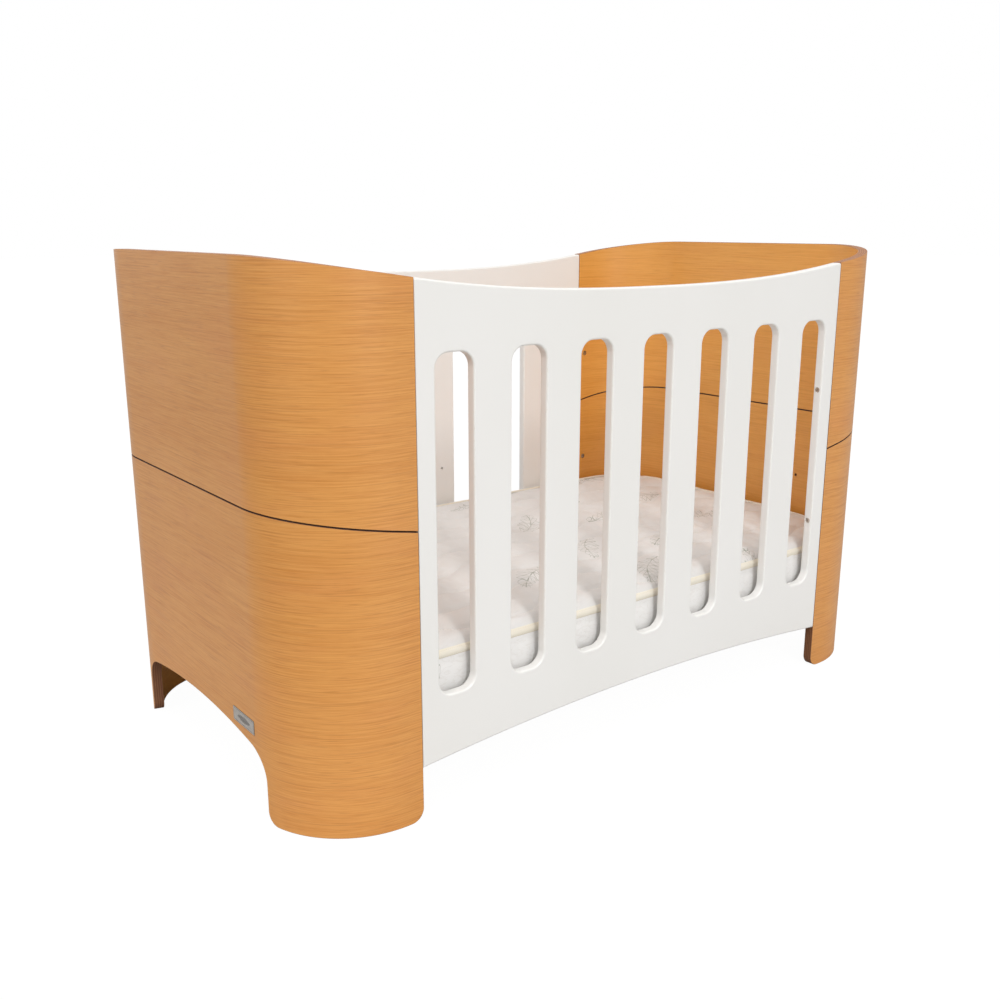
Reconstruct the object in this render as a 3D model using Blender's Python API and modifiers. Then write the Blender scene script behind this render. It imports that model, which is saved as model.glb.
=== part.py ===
"""Baby crib: bent-plywood ends split by a seam, slotted panels, a slatted base on brackets and a mattress.

Metres, +Z up. X runs along the crib, the front panel faces -Y, and the feet stand on z = 0.
"""

import math

import bmesh
import bpy
from mathutils import Matrix, Vector

# Overall size and the bent-plywood wall.
LENGTH = 1.370
WIDTH = 0.766
WALL = 0.018
CORNER_RADIUS = 0.168
CORNER_STEPS = 14
WALL_EASE = 0.0012
FIT = 0.0003
OVERCUT = 0.010
WELD = 0.00005

# Half of each panel's length: where a panel meets the edge of a bent end.
JOINT_X = 0.486

# Heights along the top edge and along the seam, at the end wall and at the panel joint.
END_TOP = 0.861
JOINT_TOP = 0.831
TOP_SLOPE = 0.147
SEAM_END = 0.5015
SEAM_JOINT = 0.468
SEAM_SLOPE = 0.20
SEAM_GAP = 0.0022

# Arch cut in the foot of each end wall, and the rounded corners of the feet.
ARCH_HALF_WIDTH = 0.2445
ARCH_CREST = 0.134
ARCH_SHOULDER_Y = 0.200
ARCH_SHOULDER_Z = 0.1188
ARCH_SIDE_TOP = 0.066
ARCH_FULLNESS = 0.62
ARCH_STEPS = 7
FOOT_STEPS = 5
FOOT_RADIUS = 0.022

# Front and rear panels.
PANEL_TOP_MIDDLE = 0.803
PANEL_TOP_POWER = 2.5
PANEL_BOTTOM_MIDDLE = 0.1125
PANEL_BOTTOM_DROP = 0.024
PANEL_EDGE_ROUND = 0.0035
PANEL_EDGE_STEPS = 12
SLOT_COUNT = 7
SLOT_PITCH = 0.1395
SLOT_WIDTH = 0.0755
SLOT_TOP = 0.7275
SLOT_BOTTOM = 0.194
SLOT_CORNER = 0.0275
SLOT_STEPS = 4

# Connector bolts that pull each panel against the plywood, and the barrel nuts they screw into.
BOLT_HEIGHTS = {"lower": 0.3235, "upper": 0.588}
BOLT_RADIUS = 0.003
BOLT_HEAD_RADIUS = 0.005
BOLT_HEAD_HEIGHT = 0.006
BOLT_SOCKET_RADIUS = 0.0028
BOLT_SOCKET_DEPTH = 0.003
BOLT_CHAMFER = 0.0005
BOLT_BORE_DEPTH = 0.040
BARREL_X = 0.510
BARREL_RADIUS = 0.005
BARREL_LENGTH = 0.014
BARREL_RECESS = 0.001
BARREL_HOLE_DEPTH = 0.016
BOLT_PAST_BARREL = 0.008
ROUND_STEPS = 12
HEX_SIDES = 6

# Loose dowels that keep the upper end wall in line with the lower one.
DOWEL_Y = 0.130
DOWEL_RADIUS = 0.004
DOWEL_LENGTH = 0.050
DOWEL_CHAMFER = 0.001
DOWEL_END_ROOM = 0.001

# Base: a plywood ring in two halves, slats across it, and a beam under the middle joint.
BASE_CLEARANCE = 0.0045
RING_WIDTH = 0.070
RING_BOTTOM = 0.127
RING_THICKNESS = 0.018
RING_CORNER_STEPS = 10
SLAT_COUNT = 9
SLAT_PITCH = 0.140
SLAT_WIDTH = 0.085
SLAT_THICKNESS = 0.0094
SLAT_LENGTH = 0.700
SLAT_EASE = 0.002
END_SLAT_LENGTH = 0.630
BEAM_WIDTH = 0.090
BEAM_THICKNESS = 0.014
BEAM_LENGTH = 0.700
BEAM_SCREW_X = 0.024
BEAM_SCREW_Y = 0.3255

# Steel angle brackets under the ring, and the second row of holes that sets the base higher.
BRACKET_THICKNESS = 0.003
BRACKET_WIDTH = 0.030
BRACKET_FOOT = 0.026
BRACKET_TOP = 0.154
BRACKET_END_Y = 0.180
BRACKET_SIDE_X = 0.07
BRACKET_SCREW_Z = 0.1405
HIGH_BASE_RISE = 0.211
SCREW_RADIUS = 0.0025
SCREW_HEAD_RADIUS = 0.0048
SCREW_HEAD_HEIGHT = 0.0026
SCREW_REACH = 0.0125
SCREW_END_ROOM = 0.001
SCREW_INSET = 0.0002
SCREW_POINT = 0.003
SCREW_TIP_RADIUS = 0.0008
SCREW_RECESS_RADIUS = 0.0018
SCREW_RECESS_DEPTH = 0.0010
SCREW_STEPS = 12

# Mattress and maker's plate.
MATTRESS_LENGTH = 1.310
MATTRESS_WIDTH = 0.704
MATTRESS_HEIGHT = 0.120
MATTRESS_CORNER = 0.140
MATTRESS_EDGE = 0.014
PLATE_LENGTH = 0.076
PLATE_HEIGHT = 0.024
PLATE_THICKNESS = 0.001
PLATE_Y = -0.178
PLATE_Z = 0.1500

# Colour, roughness and metalness of each material slot.
FINISHES = {
    "oak_veneer": ((0.66, 0.33, 0.12), 0.38, 0.0),
    "white_paint": ((0.84, 0.83, 0.80), 0.35, 0.0),
    "birch_ply": ((0.72, 0.55, 0.36), 0.55, 0.0),
    "beech": ((0.70, 0.50, 0.30), 0.55, 0.0),
    "nickel_plated_steel": ((0.62, 0.60, 0.57), 0.30, 1.0),
    "zinc_plated_steel": ((0.62, 0.62, 0.60), 0.35, 1.0),
    "mattress_fabric": ((0.82, 0.80, 0.76), 0.90, 0.0),
    "brushed_aluminium": ((0.70, 0.70, 0.69), 0.30, 1.0),
}

SHARP_ANGLE = math.radians(40)
SLOT_HALF_GAP = SLOT_WIDTH / 2 - PANEL_EDGE_ROUND
OUTER_SLOT_WALL = SLOT_PITCH * (SLOT_COUNT - 1) / 2 + SLOT_HALF_GAP
RING_TOP = RING_BOTTOM + RING_THICKNESS
SLAT_TOP = RING_TOP + FIT + SLAT_THICKNESS
WALL_MIDDLE_Y = WIDTH / 2 - WALL / 2
ENDS = (("left", -1), ("right", 1))
SIDES = (("front", -1), ("rear", 1))
CORNER_RUN = LENGTH / 2 - CORNER_RADIUS - JOINT_X + CORNER_RADIUS * math.pi / 2


def clear_scene():
    for obj in list(bpy.data.objects):
        bpy.data.objects.remove(obj, do_unlink=True)
    for collection in list(bpy.data.collections):
        bpy.data.collections.remove(collection)


def new_collection(name):
    collection = bpy.data.collections.new(name)
    bpy.context.scene.collection.children.link(collection)
    return collection


def add_material(name):
    colour, roughness, metallic = FINISHES[name]
    material = bpy.data.materials.new(name)
    material.use_nodes = True
    shader = material.node_tree.nodes["Principled BSDF"]
    shader.inputs["Base Color"].default_value = (*colour, 1.0)
    shader.inputs["Roughness"].default_value = roughness
    shader.inputs["Metallic"].default_value = metallic
    material.diffuse_color = (*colour, 1.0)
    return material


def add_mesh(name, mesh, collection, material=None):
    obj = bpy.data.objects.new(name, mesh)
    collection.objects.link(obj)
    if material is not None:
        mesh.materials.append(material)
    return obj


def mesh_from(name, bm):
    bmesh.ops.recalc_face_normals(bm, faces=bm.faces)
    mesh = bpy.data.meshes.new(name)
    bm.to_mesh(mesh)
    bm.free()
    return mesh


def box(name, size, centre, collection, material=None):
    bm = bmesh.new()
    bmesh.ops.create_cube(bm, size=1.0)
    bmesh.ops.scale(bm, vec=size, verts=bm.verts)
    bmesh.ops.translate(bm, vec=centre, verts=bm.verts)
    return add_mesh(name, mesh_from(name, bm), collection, material)


def along(start, direction):
    """Places a shape made along +Z so that it starts at a point and runs in a direction."""
    turn = Vector((0, 0, 1)).rotation_difference(Vector(direction)).to_matrix().to_4x4()
    return Matrix.Translation(start) @ turn


def cylinder(name, radius, length, start, direction, collection, material=None, steps=ROUND_STEPS):
    bm = bmesh.new()
    bmesh.ops.create_cone(bm, cap_ends=True, segments=steps, radius1=radius, radius2=radius, depth=length)
    bmesh.ops.translate(bm, vec=(0, 0, length / 2), verts=bm.verts)
    obj = add_mesh(name, mesh_from(name, bm), collection, material)
    obj.matrix_world = along(start, direction)
    obj.data.shade_smooth()
    obj.data.set_sharp_from_angle(angle=SHARP_ANGLE)
    return obj


def turned(name, profile, start, direction, collection, material=None, steps=ROUND_STEPS):
    """A turned piece, closed at both ends: profile holds (distance along the axis, radius) pairs."""
    points = [(0.0, profile[0][0])] + [(radius, z) for z, radius in profile] + [(0.0, profile[-1][0])]
    bm = bmesh.new()
    line = [bm.verts.new((radius, 0.0, z)) for radius, z in reversed(points)]
    for a, b in zip(line, line[1:]):
        bm.edges.new((a, b))
    mesh = bpy.data.meshes.new(name)
    bm.to_mesh(mesh)
    bm.free()
    obj = add_mesh(name, mesh, collection, material)
    obj.matrix_world = along(start, direction)
    screw = obj.modifiers.new("turn", "SCREW")
    screw.axis = "Z"
    screw.steps = steps
    screw.render_steps = steps
    screw.use_merge_vertices = True
    screw.merge_threshold = WELD
    return obj


def outline_board(name, loops, thickness, place, collection, material=None, edge_round=0.0):
    """A flat board from closed outlines: the first is the outside and the rest are holes.

    The outline is filled lying on its side, because level slot ends in a row would leave slivers.
    """
    curve = bpy.data.curves.new(name, "CURVE")
    curve.dimensions = "2D"
    curve.fill_mode = "BOTH"
    curve.extrude = thickness / 2 - edge_round
    curve.bevel_depth = edge_round
    curve.bevel_resolution = 1
    curve.offset = -edge_round
    for loop in loops:
        spline = curve.splines.new("POLY")
        spline.points.add(len(loop) - 1)
        for point, (x, y) in zip(spline.points, loop):
            point.co = (-y, x, 0.0, 1.0)
        spline.use_cyclic_u = True
    flat = bpy.data.objects.new(name, curve)
    collection.objects.link(flat)
    bpy.context.view_layer.update()
    mesh = bpy.data.meshes.new_from_object(flat)
    bpy.data.objects.remove(flat, do_unlink=True)
    bm = bmesh.new()
    bm.from_mesh(mesh)
    bmesh.ops.remove_doubles(bm, verts=bm.verts, dist=WELD)
    bmesh.ops.transform(bm, matrix=place @ Matrix.Rotation(-math.pi / 2, 4, "Z"), verts=bm.verts)
    bmesh.ops.recalc_face_normals(bm, faces=bm.faces)
    bm.to_mesh(mesh)
    bm.free()
    mesh.materials.clear()
    return add_mesh(name, mesh, collection, material)


def cut(target, cutter):
    cutter.hide_render = True
    cutter.display_type = "WIRE"
    boolean = target.modifiers.new("cut_" + cutter.name, "BOOLEAN")
    boolean.operation = "DIFFERENCE"
    boolean.solver = "EXACT"
    boolean.object = cutter


def ease_edges(obj, width):
    bevel = obj.modifiers.new("eased_edges", "BEVEL")
    bevel.width = width
    bevel.segments = 1
    bevel.limit_method = "ANGLE"
    bevel.angle_limit = SHARP_ANGLE


def eased_rise(distance, low, high, slope):
    """Height at a distance from the panel joint: it climbs from a slope and levels off at the end wall."""
    t = min(distance / CORNER_RUN, 1.0)
    leaving = t * (1 - t) ** 2 * slope * CORNER_RUN
    return low + (high - low) * t * t * (3 - 2 * t) + leaving


def top_height(distance):
    return eased_rise(distance, JOINT_TOP, END_TOP, TOP_SLOPE)


def seam_height(distance):
    return eased_rise(distance, SEAM_JOINT, SEAM_END, SEAM_SLOPE)


def end_outline(side):
    """Points round the outside of one bent end, each with its distance from the nearer panel joint."""
    straight = LENGTH / 2 - CORNER_RADIUS
    half = [(JOINT_X + FIT, WIDTH / 2, 0.0)]
    for i in range(CORNER_STEPS + 1):
        angle = math.pi / 2 * i / CORNER_STEPS
        x = straight + CORNER_RADIUS * math.sin(angle)
        y = WIDTH / 2 - CORNER_RADIUS + CORNER_RADIUS * math.cos(angle)
        half.append((x, y, straight - JOINT_X + CORNER_RADIUS * angle))
    rear = [(side * x, y, distance) for x, y, distance in half]
    front = [(side * x, -y, distance) for x, y, distance in reversed(half)]
    return rear + front


def bent_wall(name, side, low_edge, high_edge, collection, material):
    """A strip of plywood bent round one end of the crib, between two edge heights."""
    bm = bmesh.new()
    columns = []
    for x, y, distance in end_outline(side):
        low = bm.verts.new((x, y, low_edge(distance)))
        high = bm.verts.new((x, y, high_edge(distance)))
        columns.append((low, high))
    for left, right in zip(columns, columns[1:]):
        bm.faces.new((left[0], right[0], right[1], left[1]))
    middle = Vector((0.0, 0.0, SEAM_END))
    bm.normal_update()
    for face in bm.faces:
        if face.normal.dot(face.calc_center_median() - middle) < 0:
            face.normal_flip()
    mesh = bpy.data.meshes.new(name)
    bm.to_mesh(mesh)
    bm.free()
    wall = add_mesh(name, mesh, collection, material)
    shell = wall.modifiers.new("thickness", "SOLIDIFY")
    shell.thickness = WALL
    shell.offset = -1.0
    shell.use_even_offset = True
    ease_edges(wall, WALL_EASE)
    return wall


def arch_outline():
    """The opening under an end wall, in the wall's own y and z, open below the floor."""
    half = []
    for i in range(ARCH_STEPS):
        y = ARCH_SHOULDER_Y * i / ARCH_STEPS
        drop = (ARCH_CREST - ARCH_SHOULDER_Z) * (y / ARCH_SHOULDER_Y) ** 2
        half.append((y, ARCH_CREST - drop))
    reach = (ARCH_HALF_WIDTH - ARCH_SHOULDER_Y) * ARCH_FULLNESS
    fall = 2 * (ARCH_CREST - ARCH_SHOULDER_Z) / ARCH_SHOULDER_Y * reach
    handles = (
        Vector((ARCH_SHOULDER_Y, ARCH_SHOULDER_Z)),
        Vector((ARCH_SHOULDER_Y + reach, ARCH_SHOULDER_Z - fall)),
        Vector((ARCH_HALF_WIDTH, ARCH_SIDE_TOP + reach)),
        Vector((ARCH_HALF_WIDTH, ARCH_SIDE_TOP)),
    )
    for i in range(ARCH_STEPS + 1):
        t = i / ARCH_STEPS
        a, b, c, d = handles
        point = a * (1 - t) ** 3 + b * 3 * t * (1 - t) ** 2 + c * 3 * t * t * (1 - t) + d * t ** 3
        half.append(tuple(point))
    for i in range(FOOT_STEPS + 1):
        angle = math.pi / 2 * i / FOOT_STEPS
        y = ARCH_HALF_WIDTH + FOOT_RADIUS * (1 - math.cos(angle))
        half.append((y, FOOT_RADIUS * (1 - math.sin(angle))))
    half.append((ARCH_HALF_WIDTH + FOOT_RADIUS, -FOOT_RADIUS))
    mirrored = [(-y, z) for y, z in reversed(half[1:])]
    return mirrored + half


def foot_corner_outline(side):
    """The scrap outside a foot's rounded corner, at the edge that stands under a panel joint."""
    edge = JOINT_X - FOOT_RADIUS
    points = [(side * edge, -FOOT_RADIUS), (side * edge, FOOT_RADIUS)]
    for i in range(FOOT_STEPS + 1):
        angle = math.pi / 2 * i / FOOT_STEPS
        x = JOINT_X + FIT + FOOT_RADIUS * (1 - math.cos(angle))
        points.append((side * x, FOOT_RADIUS * (1 - math.sin(angle))))
    points.append((side * (JOINT_X + FIT + FOOT_RADIUS), -FOOT_RADIUS))
    return points


def upright(origin, across):
    """Places a flat outline so its x runs along `across` and its y runs up."""
    across = Vector(across)
    normal = across.cross(Vector((0, 0, 1)))
    turn = Matrix((across, Vector((0, 0, 1)), normal)).transposed().to_4x4()
    return Matrix.Translation(origin) @ turn


def wall_holes(wall, side, height, cutters):
    """Bores one bent end for the connector bolts and their barrel nuts."""
    for where, face in SIDES:
        label = f"{wall.name}_{where}"
        bore_start = (side * (JOINT_X - OVERCUT), face * WALL_MIDDLE_Y, height)
        bore_length = BOLT_BORE_DEPTH + OVERCUT
        bore = cylinder(
            "bolt_hole_" + label, BOLT_RADIUS + FIT, bore_length, bore_start, (side, 0, 0), cutters
        )
        cut(wall, bore)
        pocket_start = (side * BARREL_X, face * (WIDTH / 2 - WALL - OVERCUT), height)
        pocket_length = BARREL_HOLE_DEPTH + OVERCUT
        pocket = cylinder(
            "barrel_hole_" + label, BARREL_RADIUS + FIT, pocket_length, pocket_start, (0, face, 0), cutters
        )
        cut(wall, pocket)


def dowel_holes(wall, side, cutters):
    for where, face in SIDES:
        depth = DOWEL_LENGTH + 2 * DOWEL_END_ROOM
        place = (side * (LENGTH / 2 - WALL / 2), face * DOWEL_Y, SEAM_END - depth / 2)
        name = f"dowel_hole_{wall.name}_{where}"
        hole = cylinder(name, DOWEL_RADIUS + FIT, depth, place, (0, 0, 1), cutters)
        cut(wall, hole)


def bracket_places():
    """Each bracket's name, the point on the inner wall face below it, and the way that the wall faces."""
    inner_x = LENGTH / 2 - WALL
    inner_y = WIDTH / 2 - WALL
    places = []
    for end, side in ENDS:
        for where, face in SIDES:
            point = Vector((side * inner_x, face * BRACKET_END_Y, 0))
            places.append((f"{end}_{where}", point, Vector((side, 0, 0))))
    for where, face in SIDES:
        for end, side in ENDS:
            point = Vector((side * BRACKET_SIDE_X, face * inner_y, 0))
            places.append((f"{where}_{end}", point, Vector((0, face, 0))))
    return places


def screw_holes(wall, places, cutters):
    """Blind holes at both base heights, so the brackets can be moved up."""
    for name, point, outward in places:
        for level, height in (("low", BRACKET_SCREW_Z), ("high", BRACKET_SCREW_Z + HIGH_BASE_RISE)):
            start = point - outward * OVERCUT + Vector((0, 0, height))
            depth = SCREW_REACH + OVERCUT + FIT
            label = f"{level}_hole_{name}"
            hole = cylinder(label, SCREW_RADIUS + FIT, depth, start, outward, cutters, steps=SCREW_STEPS)
            cut(wall, hole)


def build_ends(parts, cutters, veneer):
    places = bracket_places()
    for end, side in ENDS:
        upper = bent_wall(
            f"{end}_end_upper", side, lambda d: seam_height(d) + SEAM_GAP / 2, top_height, parts, veneer
        )
        wall_holes(upper, side, BOLT_HEIGHTS["upper"], cutters)
        dowel_holes(upper, side, cutters)
        lower = bent_wall(
            f"{end}_end_lower", side, lambda d: 0.0, lambda d: seam_height(d) - SEAM_GAP / 2, parts, veneer
        )
        arch = outline_board(
            f"arch_{end}",
            [arch_outline()],
            2 * CORNER_RADIUS,
            upright((side * LENGTH / 2, 0, 0), (0, 1, 0)),
            cutters,
        )
        cut(lower, arch)
        corners = outline_board(
            f"foot_corners_{end}",
            [foot_corner_outline(side)],
            WIDTH + 2 * OVERCUT,
            upright((0, 0, 0), (1, 0, 0)),
            cutters,
        )
        cut(lower, corners)
        wall_holes(lower, side, BOLT_HEIGHTS["lower"], cutters)
        dowel_holes(lower, side, cutters)
        screw_holes(lower, [place for place in places if place[0].startswith(end)], cutters)
        if end == "left":
            pocket = box(
                "plate_pocket",
                (2 * (PLATE_THICKNESS + FIT), PLATE_LENGTH + 2 * FIT, PLATE_HEIGHT + 2 * FIT),
                (-LENGTH / 2, PLATE_Y, PLATE_Z),
                cutters,
            )
            cut(lower, pocket)


def panel_outline():
    points = []
    for i in range(2 * PANEL_EDGE_STEPS + 1):
        x = JOINT_X * (i / PANEL_EDGE_STEPS - 1)
        points.append((x, PANEL_BOTTOM_MIDDLE - PANEL_BOTTOM_DROP * (x / JOINT_X) ** 2))
    for i in range(2 * PANEL_EDGE_STEPS + 1):
        x = JOINT_X * (1 - i / PANEL_EDGE_STEPS)
        rise = (JOINT_TOP - PANEL_TOP_MIDDLE) * abs(x / JOINT_X) ** PANEL_TOP_POWER
        points.append((x, PANEL_TOP_MIDDLE + rise))
    return points


def slot_outline(centre):
    """An upright slot with rounded corners."""
    radius = SLOT_CORNER - PANEL_EDGE_ROUND
    left = centre - SLOT_WIDTH / 2 + SLOT_CORNER
    right = centre + SLOT_WIDTH / 2 - SLOT_CORNER
    low = SLOT_BOTTOM + SLOT_CORNER
    high = SLOT_TOP - SLOT_CORNER
    points = []
    for quarter, (x, z) in enumerate(((right, high), (left, high), (left, low), (right, low))):
        for i in range(SLOT_STEPS + 1):
            angle = math.pi / 2 * (quarter + i / SLOT_STEPS)
            points.append((x + radius * math.cos(angle), z + radius * math.sin(angle)))
    return points


def build_panels(parts, cutters, paint):
    for where, face in SIDES:
        loops = [panel_outline()]
        for i in range(SLOT_COUNT):
            loops.append(slot_outline((i - (SLOT_COUNT - 1) / 2) * SLOT_PITCH))
        panel = outline_board(
            f"{where}_panel",
            loops,
            WALL,
            upright((0, face * WALL_MIDDLE_Y, 0), (1, 0, 0)),
            parts,
            paint,
            edge_round=PANEL_EDGE_ROUND,
        )
        for side in (-1, 1):
            for level, height in BOLT_HEIGHTS.items():
                head_radius = BOLT_HEAD_RADIUS + FIT
                shank_radius = BOLT_RADIUS + FIT
                seat = OVERCUT + BOLT_HEAD_HEIGHT + 2 * FIT
                past_stile = JOINT_X - OUTER_SLOT_WALL + 2 * OVERCUT
                profile = [
                    (0.0, head_radius),
                    (seat, head_radius),
                    (seat, shank_radius),
                    (past_stile, shank_radius),
                ]
                start = (side * (OUTER_SLOT_WALL - OVERCUT), face * WALL_MIDDLE_Y, height)
                bore = turned(f"panel_hole_{where}_{level}_{side}", profile, start, (side, 0, 0), cutters)
                cut(panel, bore)
        screw_holes(panel, [place for place in bracket_places() if place[0].startswith(where)], cutters)


def build_connectors(parts, cutters, steel, zinc, beech):
    """Socket-head bolts through the panel stiles into barrel nuts in the plywood, and the seam dowels."""
    for where, face in SIDES:
        for end, side in ENDS:
            for level, height in BOLT_HEIGHTS.items():
                label = f"{where}_{end}_{level}"
                start = (side * (OUTER_SLOT_WALL + FIT), face * WALL_MIDDLE_Y, height)
                reach = BARREL_X + BOLT_PAST_BARREL - OUTER_SLOT_WALL
                profile = [
                    (0.0, BOLT_HEAD_RADIUS - BOLT_CHAMFER),
                    (BOLT_CHAMFER, BOLT_HEAD_RADIUS),
                    (BOLT_HEAD_HEIGHT, BOLT_HEAD_RADIUS),
                    (BOLT_HEAD_HEIGHT, BOLT_RADIUS),
                    (reach - BOLT_CHAMFER, BOLT_RADIUS),
                    (reach, BOLT_RADIUS - BOLT_CHAMFER),
                ]
                bolt = turned(f"panel_bolt_{label}", profile, start, (side, 0, 0), parts, steel)
                socket = cylinder(
                    f"socket_{label}",
                    BOLT_SOCKET_RADIUS,
                    2 * BOLT_SOCKET_DEPTH,
                    (side * (OUTER_SLOT_WALL + FIT - BOLT_SOCKET_DEPTH), face * WALL_MIDDLE_Y, height),
                    (side, 0, 0),
                    cutters,
                    steps=HEX_SIDES,
                )
                cut(bolt, socket)
                nut_start = (side * BARREL_X, face * (WIDTH / 2 - WALL + BARREL_RECESS), height)
                name = f"barrel_nut_{label}"
                nut = cylinder(name, BARREL_RADIUS, BARREL_LENGTH, nut_start, (0, face, 0), parts, zinc)
                thread_start = (side * (BARREL_X - OVERCUT), face * WALL_MIDDLE_Y, height)
                thread = cylinder(
                    f"thread_{label}", BOLT_RADIUS + FIT, 2 * OVERCUT, thread_start, (side, 0, 0), cutters
                )
                cut(nut, thread)
    for end, side in ENDS:
        for where, face in SIDES:
            place = (side * (LENGTH / 2 - WALL / 2), face * DOWEL_Y, SEAM_END - DOWEL_LENGTH / 2)
            profile = [
                (0.0, DOWEL_RADIUS - DOWEL_CHAMFER),
                (DOWEL_CHAMFER, DOWEL_RADIUS),
                (DOWEL_LENGTH - DOWEL_CHAMFER, DOWEL_RADIUS),
                (DOWEL_LENGTH, DOWEL_RADIUS - DOWEL_CHAMFER),
            ]
            turned(f"seam_dowel_{end}_{where}", profile, place, (0, 0, 1), parts, beech)


def rounded_half(half_x, half_y, radius, side):
    """Half of a rounded rectangle, from the middle of its rear edge to the middle of its front edge."""
    points = [(side * FIT / 2, half_y)]
    for i in range(2 * RING_CORNER_STEPS + 2):
        corner = 0 if i <= RING_CORNER_STEPS else 1
        turn = (i - corner) / RING_CORNER_STEPS * math.pi / 2
        x = half_x - radius + radius * math.sin(turn)
        y = (half_y - radius) * (1 - 2 * corner) + radius * math.cos(turn)
        points.append((side * x, y))
    points.append((side * FIT / 2, -half_y))
    return points


def build_base(parts, cutters, ply, beech, steel):
    half_x = LENGTH / 2 - WALL - BASE_CLEARANCE
    half_y = WIDTH / 2 - WALL - BASE_CLEARANCE
    radius = CORNER_RADIUS - WALL - BASE_CLEARANCE
    flat = Matrix.Translation((0, 0, RING_BOTTOM + RING_THICKNESS / 2))
    for end, side in ENDS:
        outer = rounded_half(half_x, half_y, radius, side)
        inner = rounded_half(half_x - RING_WIDTH, half_y - RING_WIDTH, radius - RING_WIDTH, side)
        ring = outline_board(
            f"base_frame_{end}", [outer + inner[::-1]], RING_THICKNESS, flat, parts, ply
        )
        for where, face in SIDES:
            pilot_start = (side * BEAM_SCREW_X, face * BEAM_SCREW_Y, RING_BOTTOM - OVERCUT)
            pilot = cylinder(
                f"pilot_{end}_{where}",
                SCREW_RADIUS + FIT,
                SCREW_REACH + OVERCUT,
                pilot_start,
                (0, 0, 1),
                cutters,
                steps=SCREW_STEPS,
            )
            cut(ring, pilot)
    for i in range(SLAT_COUNT):
        outermost = i in (0, SLAT_COUNT - 1)
        length = END_SLAT_LENGTH if outermost else SLAT_LENGTH
        slat = box(
            f"slat_{i + 1}",
            (SLAT_WIDTH, length, SLAT_THICKNESS),
            ((i - (SLAT_COUNT - 1) / 2) * SLAT_PITCH, 0, SLAT_TOP - SLAT_THICKNESS / 2),
            parts,
            beech,
        )
        ease_edges(slat, SLAT_EASE)
    beam_top = RING_BOTTOM - FIT
    beam = box(
        "base_beam",
        (BEAM_WIDTH, BEAM_LENGTH, BEAM_THICKNESS),
        (0, 0, beam_top - BEAM_THICKNESS / 2),
        parts,
        beech,
    )
    for where, face in SIDES:
        for end, side in ENDS:
            start = (side * BEAM_SCREW_X, face * BEAM_SCREW_Y, beam_top - BEAM_THICKNESS)
            name = f"beam_screw_{where}_{end}"
            add_screw(name, start, (0, 0, 1), BEAM_THICKNESS, beam, parts, cutters, steel)


def add_screw(name, start, direction, plate_depth, plate, parts, cutters, steel):
    """A countersunk screw, flush with the face it enters, and its hole in the plate under its head."""
    length = plate_depth + SCREW_REACH - SCREW_END_ROOM
    profile = [
        (SCREW_INSET, SCREW_HEAD_RADIUS),
        (SCREW_HEAD_HEIGHT, SCREW_RADIUS),
        (length - SCREW_POINT, SCREW_RADIUS),
        (length, SCREW_TIP_RADIUS),
    ]
    screw = turned(name, profile, start, direction, parts, steel, steps=SCREW_STEPS)
    recess_start = Vector(start) - Vector(direction) * SCREW_RECESS_DEPTH
    recess = cylinder(
        "recess_" + name,
        SCREW_RECESS_RADIUS,
        2 * SCREW_RECESS_DEPTH,
        recess_start,
        direction,
        cutters,
        steps=HEX_SIDES,
    )
    cut(screw, recess)
    room = 2 * FIT
    through = plate_depth + 2 * SCREW_HEAD_HEIGHT
    sink_profile = [
        (-SCREW_INSET, SCREW_HEAD_RADIUS + room + SCREW_INSET),
        (SCREW_HEAD_HEIGHT, SCREW_RADIUS + room),
        (through, SCREW_RADIUS + room),
    ]
    sink = turned("sink_" + name, sink_profile, start, direction, cutters, steps=SCREW_STEPS)
    cut(plate, sink)


def build_brackets(parts, cutters, steel):
    """Steel angles that carry the ring: an upright leg on the wall and a foot under the ring."""
    foot_top = RING_BOTTOM - FIT
    for name, point, outward in bracket_places():
        inner = -FIT - BRACKET_THICKNESS
        profile = [
            (-FIT, BRACKET_TOP),
            (inner, BRACKET_TOP),
            (inner, foot_top),
            (-FIT - BRACKET_FOOT, foot_top),
            (-FIT - BRACKET_FOOT, foot_top - BRACKET_THICKNESS),
            (-FIT, foot_top - BRACKET_THICKNESS),
        ]
        bracket = outline_board(
            f"bracket_{name}", [profile], BRACKET_WIDTH, upright(point, outward), parts, steel
        )
        start = point + outward * inner + Vector((0, 0, BRACKET_SCREW_Z))
        depth = BRACKET_THICKNESS + FIT
        add_screw(f"bracket_screw_{name}", start, outward, depth, bracket, parts, cutters, steel)


def build_mattress(parts, fabric):
    half_x = MATTRESS_LENGTH / 2
    half_y = MATTRESS_WIDTH / 2
    right = rounded_half(half_x, half_y, MATTRESS_CORNER, 1)
    left = rounded_half(half_x, half_y, MATTRESS_CORNER, -1)
    outline = right[1:-1] + left[1:-1][::-1]
    middle = SLAT_TOP + FIT + MATTRESS_HEIGHT / 2
    outline_board(
        "mattress",
        [outline],
        MATTRESS_HEIGHT,
        Matrix.Translation((0, 0, middle)),
        parts,
        fabric,
        edge_round=MATTRESS_EDGE,
    )


def build_plate(parts, metal):
    box(
        "blank_plate",
        (PLATE_THICKNESS, PLATE_LENGTH, PLATE_HEIGHT),
        (-LENGTH / 2 + PLATE_THICKNESS / 2, PLATE_Y, PLATE_Z),
        parts,
        metal,
    )


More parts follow.
